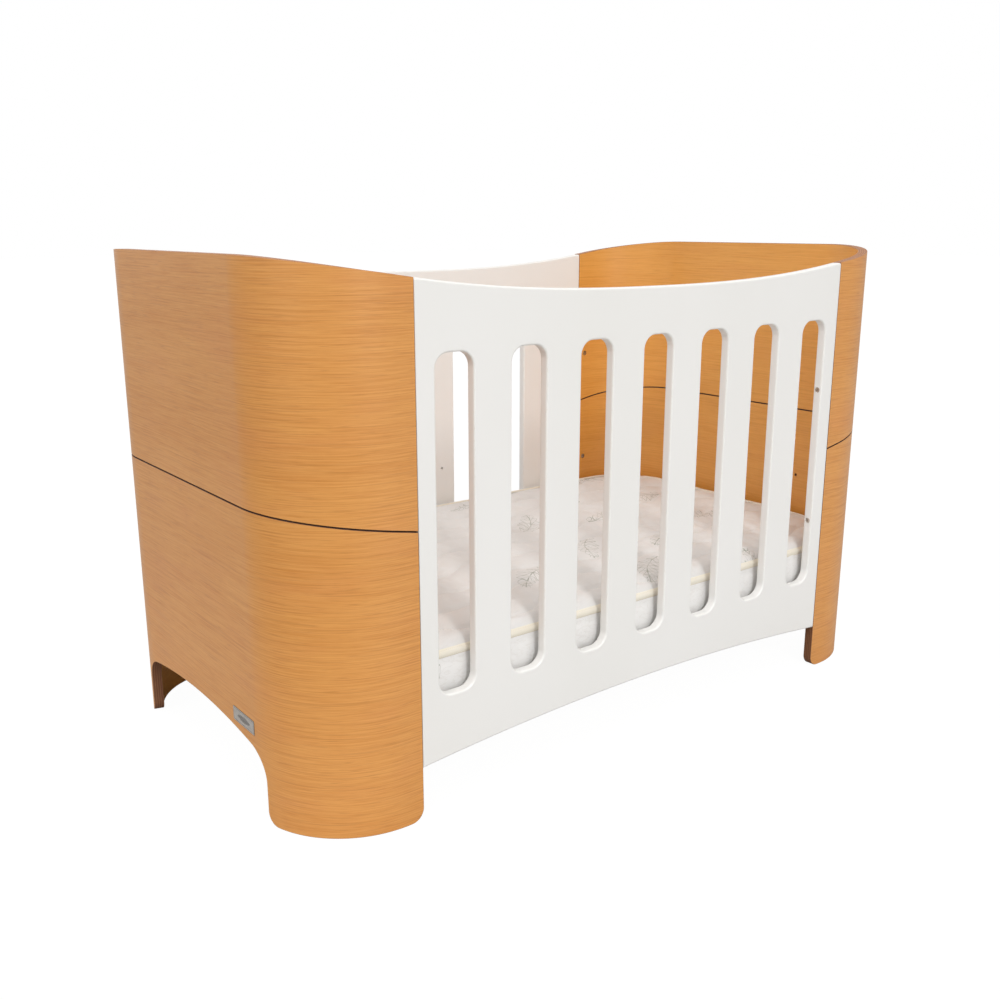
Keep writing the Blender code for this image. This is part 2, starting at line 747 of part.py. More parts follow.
def main():
    clear_scene()
    parts = new_collection("baby_crib")
    cutters = new_collection("cutters")
    cutters.hide_render = True
    beech = add_material("beech")
    zinc = add_material("zinc_plated_steel")
    build_ends(parts, cutters, add_material("oak_veneer"))
    build_panels(parts, cutters, add_material("white_paint"))
    build_connectors(parts, cutters, add_material("nickel_plated_steel"), zinc, beech)
    build_base(parts, cutters, add_material("birch_ply"), beech, zinc)
    build_brackets(parts, cutters, zinc)
    build_mattress(parts, add_material("mattress_fabric"))
    build_plate(parts, add_material("brushed_aluminium"))


main()
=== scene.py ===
"""Looks of the baby crib: bent veneered ends, painted panels, quilted mattress, slatted base, hardware."""

import math

import bmesh
import bpy
import numpy as np
from mathutils import Matrix, Vector, noise


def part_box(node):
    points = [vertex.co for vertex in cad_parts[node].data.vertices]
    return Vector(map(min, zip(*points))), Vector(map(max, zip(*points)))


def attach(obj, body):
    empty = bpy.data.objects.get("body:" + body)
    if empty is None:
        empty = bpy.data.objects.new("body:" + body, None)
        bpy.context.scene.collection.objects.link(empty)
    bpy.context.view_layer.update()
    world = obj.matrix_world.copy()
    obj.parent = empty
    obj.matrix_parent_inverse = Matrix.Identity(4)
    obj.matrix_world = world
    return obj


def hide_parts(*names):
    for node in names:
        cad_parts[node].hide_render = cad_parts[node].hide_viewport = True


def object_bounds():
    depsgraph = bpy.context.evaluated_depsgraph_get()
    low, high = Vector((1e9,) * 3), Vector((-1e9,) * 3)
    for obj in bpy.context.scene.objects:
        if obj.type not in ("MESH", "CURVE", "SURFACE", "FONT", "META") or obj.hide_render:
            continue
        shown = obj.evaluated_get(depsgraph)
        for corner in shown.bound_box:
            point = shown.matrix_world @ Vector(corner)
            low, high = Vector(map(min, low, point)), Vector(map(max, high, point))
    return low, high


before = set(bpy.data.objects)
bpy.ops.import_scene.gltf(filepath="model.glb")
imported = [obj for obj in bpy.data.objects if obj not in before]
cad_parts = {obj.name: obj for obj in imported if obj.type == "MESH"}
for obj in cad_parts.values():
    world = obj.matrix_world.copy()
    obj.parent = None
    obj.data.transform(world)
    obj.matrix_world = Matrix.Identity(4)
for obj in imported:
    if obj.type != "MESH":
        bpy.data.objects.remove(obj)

CAD_LOW, CAD_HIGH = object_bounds()

# Sizes of the CAD pieces, in metres. Only the seam is narrower than the CAD's: its edges are rounded here.
LENGTH = CAD_HIGH.x - CAD_LOW.x
WIDTH = CAD_HIGH.y - CAD_LOW.y
WALL = 0.018
CORNER = 0.168
FIT = 0.0003
JOINT_X = 0.486
START_X = JOINT_X + FIT
END_TOP, JOINT_TOP, TOP_SLOPE = 0.861, 0.831, 0.147
SEAM_END, SEAM_JOINT, SEAM_SLOPE, SEAM_GAP = 0.5015, 0.468, 0.20, 0.0017
ARCH_HALF, ARCH_CREST, SHOULDER_Y, SHOULDER_Z = 0.2445, 0.134, 0.200, 0.1188
ARCH_SIDE_TOP, ARCH_FULLNESS, FOOT_RADIUS = 0.066, 0.62, 0.022
PANEL_TOP, PANEL_POWER, PANEL_LOW, PANEL_DROP, PANEL_ROUND = 0.803, 2.5, 0.1125, 0.024, 0.0035
SLOTS, PITCH, SLOT_TOP, SLOT_LOW, SLOT_HALF, SLOT_CORNER = 7, 0.1395, 0.7275, 0.194, 0.03775, 0.0275
BOLT_HEIGHTS = {"lower": 0.3235, "upper": 0.588}
STILE_X = PITCH * (SLOTS - 1) / 2 + SLOT_HALF - PANEL_ROUND
BARREL_X = 0.510
WALL_Y = WIDTH / 2 - WALL / 2
RING_LOW, RING_THICK, RING_WIDTH, RING_ROOM = 0.127, 0.018, 0.070, 0.0045
BRACKET_Z, HIGH_ROW = 0.1405, 0.211
SCREW_REACH, PILOT_BORE, BARREL_BORE = 0.0125, 0.0028, 0.0053
BRACKET_X, BRACKET_Y = 0.070, 0.180
SLATS, SLAT_WIDTH, SLAT_LENGTH, END_SLAT_LENGTH = 9, 0.085, 0.700, 0.630
BEAM_SCREW_X, BEAM_SCREW_Y = 0.024, 0.3255

STRAIGHT = LENGTH / 2 - CORNER
SIDE_FLAT = STRAIGHT - START_X
ARC = CORNER * math.pi / 2
END_FLAT = WIDTH - 2 * CORNER
ROUND = 2 * (SIDE_FLAT + ARC) + END_FLAT
CORNER_RUN = STRAIGHT - JOINT_X + ARC
ENDS = (("left", -1), ("right", 1))
SIDES = (("front", -1), ("rear", 1))
END_EDGE = 0.0007
PLIES = 9.0
# Curves are filled lying at a tilt, because level edges in a row would leave slivers.
TILT = math.radians(37)
SHARP = math.radians(50)


# ---- materials

def operator(operation):
    """A method of Value that adds a Math node."""
    return lambda a, *b: a.nodes.math(operation, a, *b)


class Value:
    """An output of a node; arithmetic on it adds a Math node."""

    __add__, __sub__ = operator("ADD"), operator("SUBTRACT")
    __mul__, __truediv__ = operator("MULTIPLY"), operator("DIVIDE")
    __lt__, __gt__ = operator("LESS_THAN"), operator("GREATER_THAN")
    __abs__ = operator("ABSOLUTE")

    def __init__(self, nodes, socket):
        self.nodes, self.socket = nodes, socket


class Nodes:
    """Builds a node tree; each call adds a node and returns an output of it."""

    def __init__(self, tree):
        self.tree = tree

    def add(self, kind, *values, out=0, named=(), **settings):
        node = self.tree.nodes.new("ShaderNode" + kind)
        for key, value in settings.items():
            setattr(node, key, value)
        for socket, value in zip(node.inputs, values):
            self.put(socket, value)
        for key, value in dict(named).items():
            self.put(node.inputs[key], value)
        return Value(self, node.outputs[out])

    def put(self, socket, value):
        if isinstance(value, Value):
            self.tree.links.new(value.socket, socket)
        elif value is not None:
            socket.default_value = value

    def at(self, name, out="Vector"):
        """A value stored on the mesh: where a point lies on the sheet, or how deep it is."""
        return self.add("Attribute", out=out, attribute_name=name)

    def place(self):
        return self.add("TexCoord", out=3)

    def math(self, operation, a, b=None, c=None):
        return self.add("Math", a, b, c, operation=operation)

    def scaled(self, vector, x, y, z):
        return self.add("VectorMath", vector, (x, y, z), operation="MULTIPLY")

    def split(self, vector):
        first = self.add("SeparateXYZ", vector)
        return [Value(self, socket) for socket in first.socket.node.outputs]

    def join(self, x, y, z=0.0):
        return self.add("CombineXYZ", x, y, z)

    def noise(self, vector, detail=2.0, rough=0.5, twist=0.0):
        return self.add("TexNoise", named={"Vector": vector, "Scale": 1.0, "Detail": detail,
                                           "Roughness": rough, "Distortion": twist})

    def range(self, value, low, high, to_low=0.0, to_high=1.0):
        return self.add("MapRange", value, low, high, to_low, to_high)

    def mix(self, factor, a, b):
        return self.add("Mix", factor, *[None] * 5, a, b, out=2, data_type="RGBA")

    def over(self, colour, *coats):
        """Lays screen colours over a colour, each by its own factor."""
        for factor, shade in coats:
            colour = self.mix(factor, colour, srgb(*shade))
        return colour

    def ramp(self, value, *stops):
        out = self.add("ValToRGB", value)
        elements = out.socket.node.color_ramp.elements
        while len(elements) < len(stops):
            elements.new(0.5)
        for element, (place, shade) in zip(elements, stops):
            element.position = place
            element.color = srgb(*shade)
        return out

    def bump(self, height, depth, strength=1.0, under=None):
        return self.add("Bump", named={"Height": height, "Distance": depth, "Strength": strength,
                                       "Normal": under})


class Paint(Nodes):
    """A new material: its nodes, and the shader they feed."""

    def __init__(self, name):
        self.material = bpy.data.materials.new(name)
        self.material.use_nodes = True
        super().__init__(self.material.node_tree)
        self.shader = self.tree.nodes["Principled BSDF"]

    def set(self, **values):
        for key, value in values.items():
            self.put(self.shader.inputs[key.replace("_", " ")], value)
        return self.material


def darker(colour, share):
    return tuple(c * share for c in colour[:3]) + (1.0,)


def srgb(red, green, blue):
    """A colour given as it looks on a screen, 0 to 255, in the linear light that shaders use."""
    levels = (red, green, blue)
    return tuple(((c / 255 + 0.055) / 1.055) ** 2.4 if c > 10 else c / 3295 for c in levels) + (1.0,)


def veneer_paint():
    """Lacquered oak veneer: long fine streaks that waver, broad soft bands and short dark pores; the inner
    face is painted lighter, as bounce light.
    """
    p = Paint("oak_veneer_lacquered")
    x, y, layer = p.split(p.at("sheet"))
    sway = p.noise(p.join(x * 2.4, y * 4.0, layer), 2.0, 0.5)
    ripple = p.noise(p.join(x * 24.0, y * 30.0, layer), 1.0, 0.5)
    y = p.math("MULTIPLY_ADD", sway, 0.007, y)
    y = p.math("MULTIPLY_ADD", ripple, 0.0005, y)

    def streaks(along, across, detail, rough):
        return p.noise(p.join(x * along, y * across, layer), detail, rough)

    bands = streaks(0.7, 13.0, 3.0, 0.55)
    lines = streaks(8.0, 420.0, 2.0, 0.55)
    fine = streaks(24.0, 1000.0, 2.0, 0.6)
    pores = streaks(50.0, 1500.0, 1.0, 0.5)
    rings = abs(streaks(4.5, 250.0, 1.0, 0.5) - 0.5)
    blush = p.noise(p.join(x * 5.0, y * 14.0, layer), 2.0, 0.5)
    tone = bands * 0.22 + lines * 0.46 + fine * 0.32
    colour = p.ramp(tone, (0.34, (209, 136, 61)), (0.46, (218, 149, 74)), (0.54, (224, 157, 82)),
                    (0.66, (230, 164, 88)))
    colour = p.over(colour, (p.range(blush, 0.50, 0.72, 0.0, 0.28), (218, 143, 83)),
                    (p.range(rings, 0.002, 0.036, 0.27, 0.0), (170, 100, 44)))
    dark = p.range(pores, 0.60, 0.70)
    colour = p.mix(dark * 0.16, colour, srgb(152, 90, 44))
    # Painted light: the inner face is painted lighter and more orange, standing in for bounce light inside
    # the crib.
    inside = p.range(p.at("depth", "Fac"), WALL * 0.4, WALL * 0.6, 0.0, 0.26)
    colour = p.mix(inside, colour, srgb(235, 176, 68))
    grain = p.bump(fine - dark * 0.6, 0.00006, 0.35)
    return p.set(Base_Color=colour, Roughness=p.range(tone, 0.3, 0.7, 0.50, 0.40), Normal=grain,
                 Coat_Weight=0.34, Coat_Roughness=0.26, Specular_IOR_Level=0.50)


def ply_edge_paint(name, light, dark, glue):
    """The cut edge of plywood: plies of alternate tone across the thickness, with thin glue lines."""
    p = Paint(name)
    x, y, _ = p.split(p.at("sheet"))
    depth = p.at("depth", "Fac")
    waver = p.noise(p.join(x * 22.0, y * 22.0, 0.3), 2.0, 0.6)
    ply = p.math("MULTIPLY_ADD", waver, 0.35, depth * (PLIES / WALL))
    odd = p.math("FRACT", ply * 0.5) > 0.5
    line = p.math("PINGPONG", ply, 0.5)
    streak = p.noise(p.join(x * 130.0, y * 130.0, depth * 1900.0), 3.0, 0.65)
    ends = p.noise(p.join(x * 900.0, y * 900.0, depth * 900.0), 1.0, 0.5)
    colour = p.mix(odd, srgb(*light), srgb(*dark))
    # Painted shade: the last coat darkens the cut edge in the seam gap between the levels and towards the
    # feet.
    colour = p.over(colour, (p.range(streak, 0.35, 0.7, 0.0, 0.40), glue),
                    (odd * p.range(ends, 0.5, 0.7, 0.0, 0.4), glue),
                    (p.range(line, 0.03, 0.10, 0.75, 0.0), glue),
                    (p.at("painted_shade", "Fac") * 0.85, (66, 32, 18)))
    relief = streak * 0.5 - p.range(line, 0.02, 0.10, 0.6, 0.0)
    return p.set(Base_Color=colour, Roughness=p.range(streak, 0.3, 0.7, 0.62, 0.50),
                 Normal=p.bump(relief, 0.00015, 0.5))


def plain_wood_paint(name, light, dark, fleck, stored=True):
    """Sanded close-grained wood, with faint lines along it and the short flecks of beech."""
    p = Paint(name)
    x, y, layer = p.split(p.at("sheet") if stored else p.place())
    wave = p.noise(p.join(x * 4.0, y * 14.0, layer), 2.0, 0.5)
    y = p.math("MULTIPLY_ADD", wave, 0.016, y)
    lines = p.noise(p.join(x * 5.0, y * 260.0, layer), 3.0, 0.6)
    flecks = p.noise(p.join(x * 260.0, y * 1500.0, layer), 1.0, 0.5)
    colour = p.mix(p.range(lines, 0.35, 0.65), srgb(*dark), srgb(*light))
    colour = p.mix(p.range(flecks, 0.60, 0.72, 0.0, 0.45), colour, srgb(*fleck))
    return p.set(Base_Color=colour, Roughness=p.range(lines, 0.3, 0.7, 0.62, 0.50),
                 Normal=p.bump(lines, 0.00008, 0.4), Specular_IOR_Level=0.4)


def white_paint():
    """Sprayed satin paint on board: faint orange peel, a soft change of tone, a little wear on the edges."""
    p = Paint("satin_white_paint")
    at = p.place()
    cloud = p.noise(p.scaled(at, 2.2, 2.2, 1.3), 3.0, 0.5)
    peel = p.noise(p.scaled(at, 420.0, 420.0, 420.0), 2.0, 0.5)
    fibre = p.noise(p.scaled(at, 26.0, 160.0, 160.0), 3.0, 0.6)
    rim = p.at("rim", "Fac")
    colour = p.mix(p.range(cloud, 0.35, 0.65), srgb(239, 238, 235), srgb(242, 241, 239))
    colour = p.mix(rim * p.range(fibre, 0.50, 0.70, 0.0, 0.30), colour, srgb(226, 217, 203))
    rough = p.range(cloud, 0.3, 0.7, 0.34, 0.40) + p.range(peel, 0.3, 0.7, -0.02, 0.03)
    relief = p.bump(fibre, 0.00003, 0.25, p.bump(peel, 0.00004, 0.30))
    return p.set(Base_Color=colour, Roughness=rough, Normal=relief, Coat_Weight=0.12, Coat_Roughness=0.20,
                 Specular_IOR_Level=0.5)


def metal_paint(name, colour, rough, scale):
    """Plated steel: a cloudy finish with fine scratches."""
    p = Paint(name)
    at = p.place()
    cloud = p.noise(p.scaled(at, 180.0, 180.0, 180.0), 3.0, 0.6)
    lines = p.noise(p.scaled(at, *scale), 2.0, 0.6)
    tint = p.mix(p.range(cloud, 0.3, 0.7, 0.0, 0.35), colour, darker(colour, 0.72))
    rough = p.range(lines, 0.25, 0.75, rough - 0.07, rough + 0.10)
    return p.set(Base_Color=tint, Metallic=1.0, Roughness=rough, Normal=p.bump(lines, 0.00003, 0.5))


# ---- mesh helpers

def make(name, data, *materials):
    obj = bpy.data.objects.new(name, data)
    bpy.context.scene.collection.objects.link(obj)
    for material in materials:
        data.materials.append(material)
    return obj


def finish_piece(obj, body, slot, *nodes):
    """Rides a piece on its body and hides the CAD nodes that it stands for; the material slot it is given is
    not used.
    """
    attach(obj, body)
    if nodes:
        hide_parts(*nodes)
    return obj


def coordinates(mesh):
    co = np.empty(len(mesh.vertices) * 3)
    mesh.vertices.foreach_get("co", co)
    return co.reshape(-1, 3)


def moved(mesh, co):
    mesh.vertices.foreach_set("co", co.ravel())
    mesh.update()


def store(mesh, name, values):
    """Keeps one number or one vector per vertex on the mesh, for its material."""
    values = np.asarray(values, np.float32)
    kind, key = ("FLOAT", "value") if values.ndim == 1 else ("FLOAT_VECTOR", "vector")
    layer = mesh.attributes.get(name) or mesh.attributes.new(name, kind, "POINT")
    layer.data.foreach_set(key, values.ravel())


def lay(mesh, along, across, layer=0.0):
    """Says where each vertex lies on the sheet that its material is drawn on."""
    store(mesh, "sheet", np.stack(np.broadcast_arrays(along, across, layer), 1))


def settled(obj):
    """Applies every modifier of a piece and keeps the result as its mesh."""
    graph = bpy.context.evaluated_depsgraph_get()
    final = obj.evaluated_get(graph)
    mesh = bpy.data.meshes.new_from_object(final, preserve_all_data_layers=True, depsgraph=graph)
    obj.modifiers.clear()
    obj.data = mesh
    return mesh


def opened(mesh):
    bm = bmesh.new()
    bm.from_mesh(mesh)
    return bm


def closed(bm, mesh):
    bm.to_mesh(mesh)
    bm.free()
    return mesh


def board(name, loops, thickness, edge, steps):
    """A flat board with rounded edges, from closed outlines: the first outside and the rest holes."""
    curve = bpy.data.curves.new(name, "CURVE")
    curve.dimensions = "2D"
    curve.fill_mode = "BOTH"
    curve.extrude = thickness / 2 - edge
    curve.bevel_depth = edge
    curve.bevel_resolution = steps
    curve.offset = -edge
    turn = Matrix.Rotation(TILT, 2)
    for loop in loops:
        spline = curve.splines.new("POLY")
        spline.points.add(len(loop) - 1)
        for point, at in zip(spline.points, loop):
            point.co = (*(turn @ Vector(at)), 0.0, 1.0)
        spline.use_cyclic_u = True
    flat = make(name, curve)
    bpy.context.view_layer.update()
    mesh = bpy.data.meshes.new_from_object(flat)
    bpy.data.objects.remove(flat, do_unlink=True)
    bm = opened(mesh)
    bmesh.ops.remove_doubles(bm, verts=bm.verts, dist=0.000002)
    bmesh.ops.transform(bm, matrix=Matrix.Rotation(-TILT, 4, "Z"), verts=bm.verts)
    bmesh.ops.recalc_face_normals(bm, faces=bm.faces)
    for face in bm.faces:
        face.material_index = 0 if abs(face.normal.z) > 0.98 else 1
    return closed(bm, mesh)


def smooth(obj, weighted=True):
    """Smooth shading with sharp creases; flat faces stay flat where normals are weighted. Gives the mesh."""
    obj.data.shade_smooth()
    obj.data.set_sharp_from_angle(angle=SHARP)
    if weighted:
        obj.modifiers.new("even_normals", "WEIGHTED_NORMAL").keep_sharp = True
        settled(obj)
    return obj.data


def pattern(obj):
    """Finishes a piece that is only copied, and keeps its mesh."""
    mesh = smooth(obj)
    bpy.data.objects.remove(obj)
    return mesh


def lathe(name, profile, steps=40):
    """A turned shape round +Z from (height, radius) pairs, closed at both ends."""
    bm = bmesh.new()
    rings = []
    for height, radius in profile:
        ring = []
        for i in range(steps):
            angle = 2 * math.pi * i / steps
            ring.append(bm.verts.new((radius * math.cos(angle), radius * math.sin(angle), height)))
        rings.append(ring)
    for a, b in zip(rings, rings[1:]):
        for i in range(steps):
            j = (i + 1) % steps
            bm.faces.new((a[i], a[j], b[j], b[i]))
    bm.faces.new(rings[0][::-1])
    bm.faces.new(rings[-1])
    bmesh.ops.recalc_face_normals(bm, faces=bm.faces)
    for face in bm.faces:
        face.material_index = 1
    return closed(bm, bpy.data.meshes.new(name))


def prism(name, size, centre=(0, 0, 0), ease=0.0, steps=3):
    """A box with rounded edges."""
    bm = bmesh.new()
    bmesh.ops.create_cube(bm, size=1.0)
    bmesh.ops.scale(bm, vec=size, verts=bm.verts)
    bmesh.ops.translate(bm, vec=centre, verts=bm.verts)
    if ease:
        bmesh.ops.bevel(bm, geom=bm.edges, offset=ease, segments=steps, profile=0.5, affect="EDGES")
    return closed(bm, bpy.data.meshes.new(name))


def arc(centre, radius, start, stop, steps):
    turns = np.radians(np.linspace(start, stop, steps))
    return [(centre[0] + radius * math.cos(a), centre[1] + radius * math.sin(a)) for a in turns]


def rounded_box(half_x, half_y, radius, steps=9):
    loop = []
    for x, y, start in ((1, 1, 0), (-1, 1, 90), (-1, -1, 180), (1, -1, 270)):
        loop += arc((x * (half_x - radius), y * (half_y - radius)), radius, start, start + 90, steps)
    return loop


def along(start, direction, spin=0.0):
    turn = Vector((0, 0, 1)).rotation_difference(Vector(direction)).to_matrix().to_4x4()
    return Matrix.Translation(start) @ turn @ Matrix.Rotation(spin, 4, "Z")


def hollow(obj, cutters):
    """Cuts each of the given meshes, placed by its matrix, out of a piece."""
    tools = []
    for mesh, matrix in cutters:
        tool = make("tool", mesh)
        tool.matrix_world = matrix
        cut = obj.modifiers.new("cut", "BOOLEAN")
        cut.operation = "DIFFERENCE"
        cut.solver = "EXACT"
        cut.object = tool
        tools.append(tool)
    bpy.context.view_layer.update()
    settled(obj)
    for tool in tools:
        bpy.data.objects.remove(tool, do_unlink=True)


# ---- bent ends

def rise(distance, low, high, slope):
    """Height at a distance from the panel joint, climbing from a slope and levelling off at the end wall."""
    t = min(distance / CORNER_RUN, 1.0)
    return low + (high - low) * t * t * (3 - 2 * t) + t * (1 - t) ** 2 * slope * CORNER_RUN


def edge_line(low, high, slope, shift):
    """A wall's long edge as points on the flat sheet, from the front joint to the rear one."""
    count = 150
    line = []
    for i in range(count + 1):
        u = ROUND * i / count
        line.append((u, rise(min(u, ROUND - u) + FIT, low, high, slope) + shift))
    return line


def foot_line():
    """The lower edge of a lower end on the flat sheet: rounded feet and the arch between them."""
    half = []
    for i in range(17):
        y = SHOULDER_Y * i / 17
        half.append((y, ARCH_CREST - (ARCH_CREST - SHOULDER_Z) * (y / SHOULDER_Y) ** 2))
    reach = (ARCH_HALF - SHOULDER_Y) * ARCH_FULLNESS
    fall = 2 * (ARCH_CREST - SHOULDER_Z) / SHOULDER_Y * reach
    a, b, c, d = [Vector(h) for h in ((SHOULDER_Y, SHOULDER_Z), (SHOULDER_Y + reach, SHOULDER_Z - fall),
                                      (ARCH_HALF, ARCH_SIDE_TOP + reach), (ARCH_HALF, ARCH_SIDE_TOP))]
    for t in np.linspace(0, 1, 21):
        half.append(tuple(a * (1 - t) ** 3 + b * 3 * t * (1 - t) ** 2 + c * 3 * t * t * (1 - t) + d * t ** 3))
    half += arc((ARCH_HALF + FOOT_RADIUS, FOOT_RADIUS), FOOT_RADIUS, 180, 270, 13)
    flat = END_FLAT / 2
    arch = [(y if y <= flat else flat + CORNER * math.asin((y - flat) / CORNER), z) for y, z in half]
    toe = arc((FOOT_RADIUS, FOOT_RADIUS), FOOT_RADIUS, 180, 270, 13)
    left = toe + [(ROUND / 2 - y, z) for y, z in reversed(arch)]
    return left + [(ROUND - u, z) for u, z in reversed(left[:-1])]


def bend(side, co):
    """Bends a flat sheet of u, z and depth round one end of the crib."""
    u, z, depth = co.T
    run = np.minimum(u, ROUND - u)
    angle = np.clip((run - SIDE_FLAT) / CORNER, 0, math.pi / 2)
    past = np.maximum(run - SIDE_FLAT - ARC, 0)
    x = START_X + np.minimum(run, SIDE_FLAT) + (CORNER - depth) * np.sin(angle)
    y = WIDTH / 2 - CORNER + (CORNER - depth) * np.cos(angle) - past
    return np.stack([side * x, np.where(u < ROUND / 2, -y, y), z], 1)


def unbend(side, co):
    """Where each point of a bent end lies on the flat sheet: u, z and depth."""
    x, y = co[:, 0] * side, np.abs(co[:, 1])
    corner_y = WIDTH / 2 - CORNER
    angle = np.arctan2(x - STRAIGHT, y - corner_y)
    on_end, on_side = y <= corner_y, x <= STRAIGHT
    depth = np.where(on_end, LENGTH / 2 - x, np.where(
        on_side, WIDTH / 2 - y, CORNER - np.hypot(x - STRAIGHT, y - corner_y)))
    run = np.where(on_end, SIDE_FLAT + ARC + corner_y - y, np.where(
        on_side, x - START_X, SIDE_FLAT + CORNER * angle))
    return np.stack([np.where(co[:, 1] < 0, run, ROUND - run), co[:, 2], depth], 1)


def painted_edge_shade(flat):
    """How much painted shade darkens the cut edge at each point of the flat sheet: 1 in the seam gap, and
    less, growing towards the feet.
    """
    seam = [rise(min(u, ROUND - u) + FIT, SEAM_JOINT, SEAM_END, SEAM_SLOPE) for u in flat[:, 0]]
    in_seam = np.abs(flat[:, 1] - np.array(seam)) < 0.004
    return np.where(in_seam, 1.0, np.clip((0.45 - flat[:, 1]) * 3.0, 0.0, 0.55))


def bent_end(name, side, loop, cutters, seed, face, edge):
    """One level of an end: cut flat, divided where it bends, bent, drilled, and drawn on as veneer."""
    mesh = board(name, [loop], WALL, END_EDGE, 2)
    bm = opened(mesh)
    stops = list(np.linspace(SIDE_FLAT, SIDE_FLAT + ARC, 45))
    stops += [ROUND - stop for stop in stops]
    stops += list(np.linspace(SIDE_FLAT + ARC, ROUND - SIDE_FLAT - ARC, 11)[1:-1])
    for u in stops:
        everything = bm.verts[:] + bm.edges[:] + bm.faces[:]
        bmesh.ops.bisect_plane(bm, geom=everything, dist=0.000001, plane_co=(u, 0, 0), plane_no=(1, 0, 0))
    if side < 0:
        bmesh.ops.reverse_faces(bm, faces=bm.faces)
    closed(bm, mesh)
    co = coordinates(mesh)
    co[:, 2] = WALL / 2 - co[:, 2]
    moved(mesh, bend(side, co))
    wall = make(name, mesh, face, edge)
    hollow(wall, cutters)
    mesh = smooth(wall)
    flat = unbend(side, coordinates(mesh))
    lay(mesh, flat[:, 0], flat[:, 1], seed + np.where(flat[:, 2] > WALL / 2, 3.7, 0.0))
    store(mesh, "depth", flat[:, 2])
    # Painted shade for the cut edge, in the seam gap and towards the feet.
    store(mesh, "painted_shade", painted_edge_shade(flat))
    return wall


def bore(radius, depth, name="bore"):
    """A cutter for a hole with a slightly eased mouth; it starts outside the wood."""
    ease = 0.0005
    return lathe(name, [(-0.004, radius + ease), (0.0, radius + ease), (ease, radius), (depth, radius)], 32)


def build_ends(face, edge):
    barrel, pilot = bore(BARREL_BORE, 0.016), bore(PILOT_BORE, SCREW_REACH)
    seam_low = edge_line(SEAM_JOINT, SEAM_END, SEAM_SLOPE, SEAM_GAP / 2)
    seam_high = edge_line(SEAM_JOINT, SEAM_END, SEAM_SLOPE, -SEAM_GAP / 2)
    top = edge_line(JOINT_TOP, END_TOP, TOP_SLOPE, 0.0)
    loops = {"upper": seam_low + top[::-1], "lower": foot_line() + seam_high[::-1]}
    for number, (end, side) in enumerate(ENDS):
        for level, loop in loops.items():
            cutters = []
            for _, front in SIDES:
                start = (side * BARREL_X, front * (WIDTH / 2 - WALL), BOLT_HEIGHTS[level])
                cutters.append((barrel, along(start, (0, front, 0))))
                for z in (BRACKET_Z, BRACKET_Z + HIGH_ROW) if level == "lower" else ():
                    start = (side * (LENGTH / 2 - WALL), front * BRACKET_Y, z)
                    cutters.append((pilot, along(start, (side, 0, 0))))
            node = f"{end}_end_{level}"
            seed = 10.0 * number + (level == "upper")
            wall = bent_end(f"{node}_veneered", side, loop, cutters, seed, face, edge)
            finish_piece(wall, "crib", "oak_veneer", node)


# ---- panels

def upright(origin, across):
    across = Vector(across)
    turn = Matrix((across, Vector((0, 0, 1)), across.cross(Vector((0, 0, 1))))).transposed().to_4x4()
    return Matrix.Translation(origin) @ turn


def eased_corner(near, sign, corner):
    """Points that round a panel's upper corner, from the top edge down its side."""
    peak, side = Vector((sign * JOINT_X, JOINT_TOP)), Vector((sign * JOINT_X, JOINT_TOP - corner))
    steps = (0.2, 0.4, 0.6, 0.8, 1.0)
    return [tuple(near * (1 - t) ** 2 + peak * 2 * t * (1 - t) + side * t * t) for t in steps]


def panel_loops():
    """A panel's outline, with its bowed top and bottom, and its slots."""
    count, corner = 60, 0.007
    low, top = [], []
    for i in range(count + 1):
        x = JOINT_X * (2 * i / count - 1)
        low.append((x, PANEL_LOW - PANEL_DROP * (x / JOINT_X) ** 2))
        inner = x * (JOINT_X - corner) / JOINT_X
        top.append((-inner, PANEL_TOP + (JOINT_TOP - PANEL_TOP) * abs(inner / JOINT_X) ** PANEL_POWER))
    right, left = eased_corner(Vector(top[0]), 1, corner), eased_corner(Vector(top[-1]), -1, corner)
    loops = [low + right[::-1] + top + left]
    tall = (SLOT_TOP - SLOT_LOW) / 2
    hole = rounded_box(SLOT_HALF - PANEL_ROUND, tall - PANEL_ROUND, SLOT_CORNER - PANEL_ROUND, 15)
    for i in range(SLOTS):
        centre = (i - (SLOTS - 1) / 2) * PITCH
        loops.append([(centre + x, SLOT_LOW + tall + z) for x, z in hole])
    return loops


def square_sides(mesh):
    """Sharpens a panel's two upright outer edges, where it meets the bent ends."""
    co = coordinates(mesh)
    inside = JOINT_X - np.abs(co[:, 0])
    near = inside < PANEL_ROUND
    co[near, 0] = np.sign(co[near, 0]) * (JOINT_X - inside[near] * 0.25)
    moved(mesh, co)


def build_panels(paint):
    seat = lathe("seat", [(-0.012, 0.0053), (0.0066, 0.0053), (0.0066, 0.0033), (0.055, 0.0033)], 32)
    pilot = bore(PILOT_BORE, SCREW_REACH)
    for where, front in SIDES:
        node = f"{where}_panel"
        mesh = board(f"{node}_painted", panel_loops(), WALL, PANEL_ROUND, 4)
        square_sides(mesh)
        mesh.transform(upright((0, front * WALL_Y, 0), (1, 0, 0)))
        panel = make(f"{node}_painted", mesh, paint)
        cutters = []
        for side in (-1, 1):
            for z in BOLT_HEIGHTS.values():
                cutters.append((seat, along((side * STILE_X, front * WALL_Y, z), (side, 0, 0))))
            for z in (BRACKET_Z, BRACKET_Z + HIGH_ROW):
                start = (side * BRACKET_X, front * (WIDTH / 2 - WALL), z)
                cutters.append((pilot, along(start, (0, front, 0))))
        hollow(panel, cutters)
        co = coordinates(smooth(panel))
        inset = WALL / 2 - np.abs(co[:, 1] - front * WALL_Y)
        store(panel.data, "rim", np.clip(1 - np.abs(inset - 0.0016) / 0.0016, 0, 1))
        finish_piece(panel, "crib", "white_paint", node)


# ---- fasteners and brackets

def cross_recess(size, depth):
    bar = prism("bar", (size, size * 0.22, 2 * depth))
    return [(bar, Matrix.Rotation(angle, 4, "Z")) for angle in (0.0, math.pi / 2)]


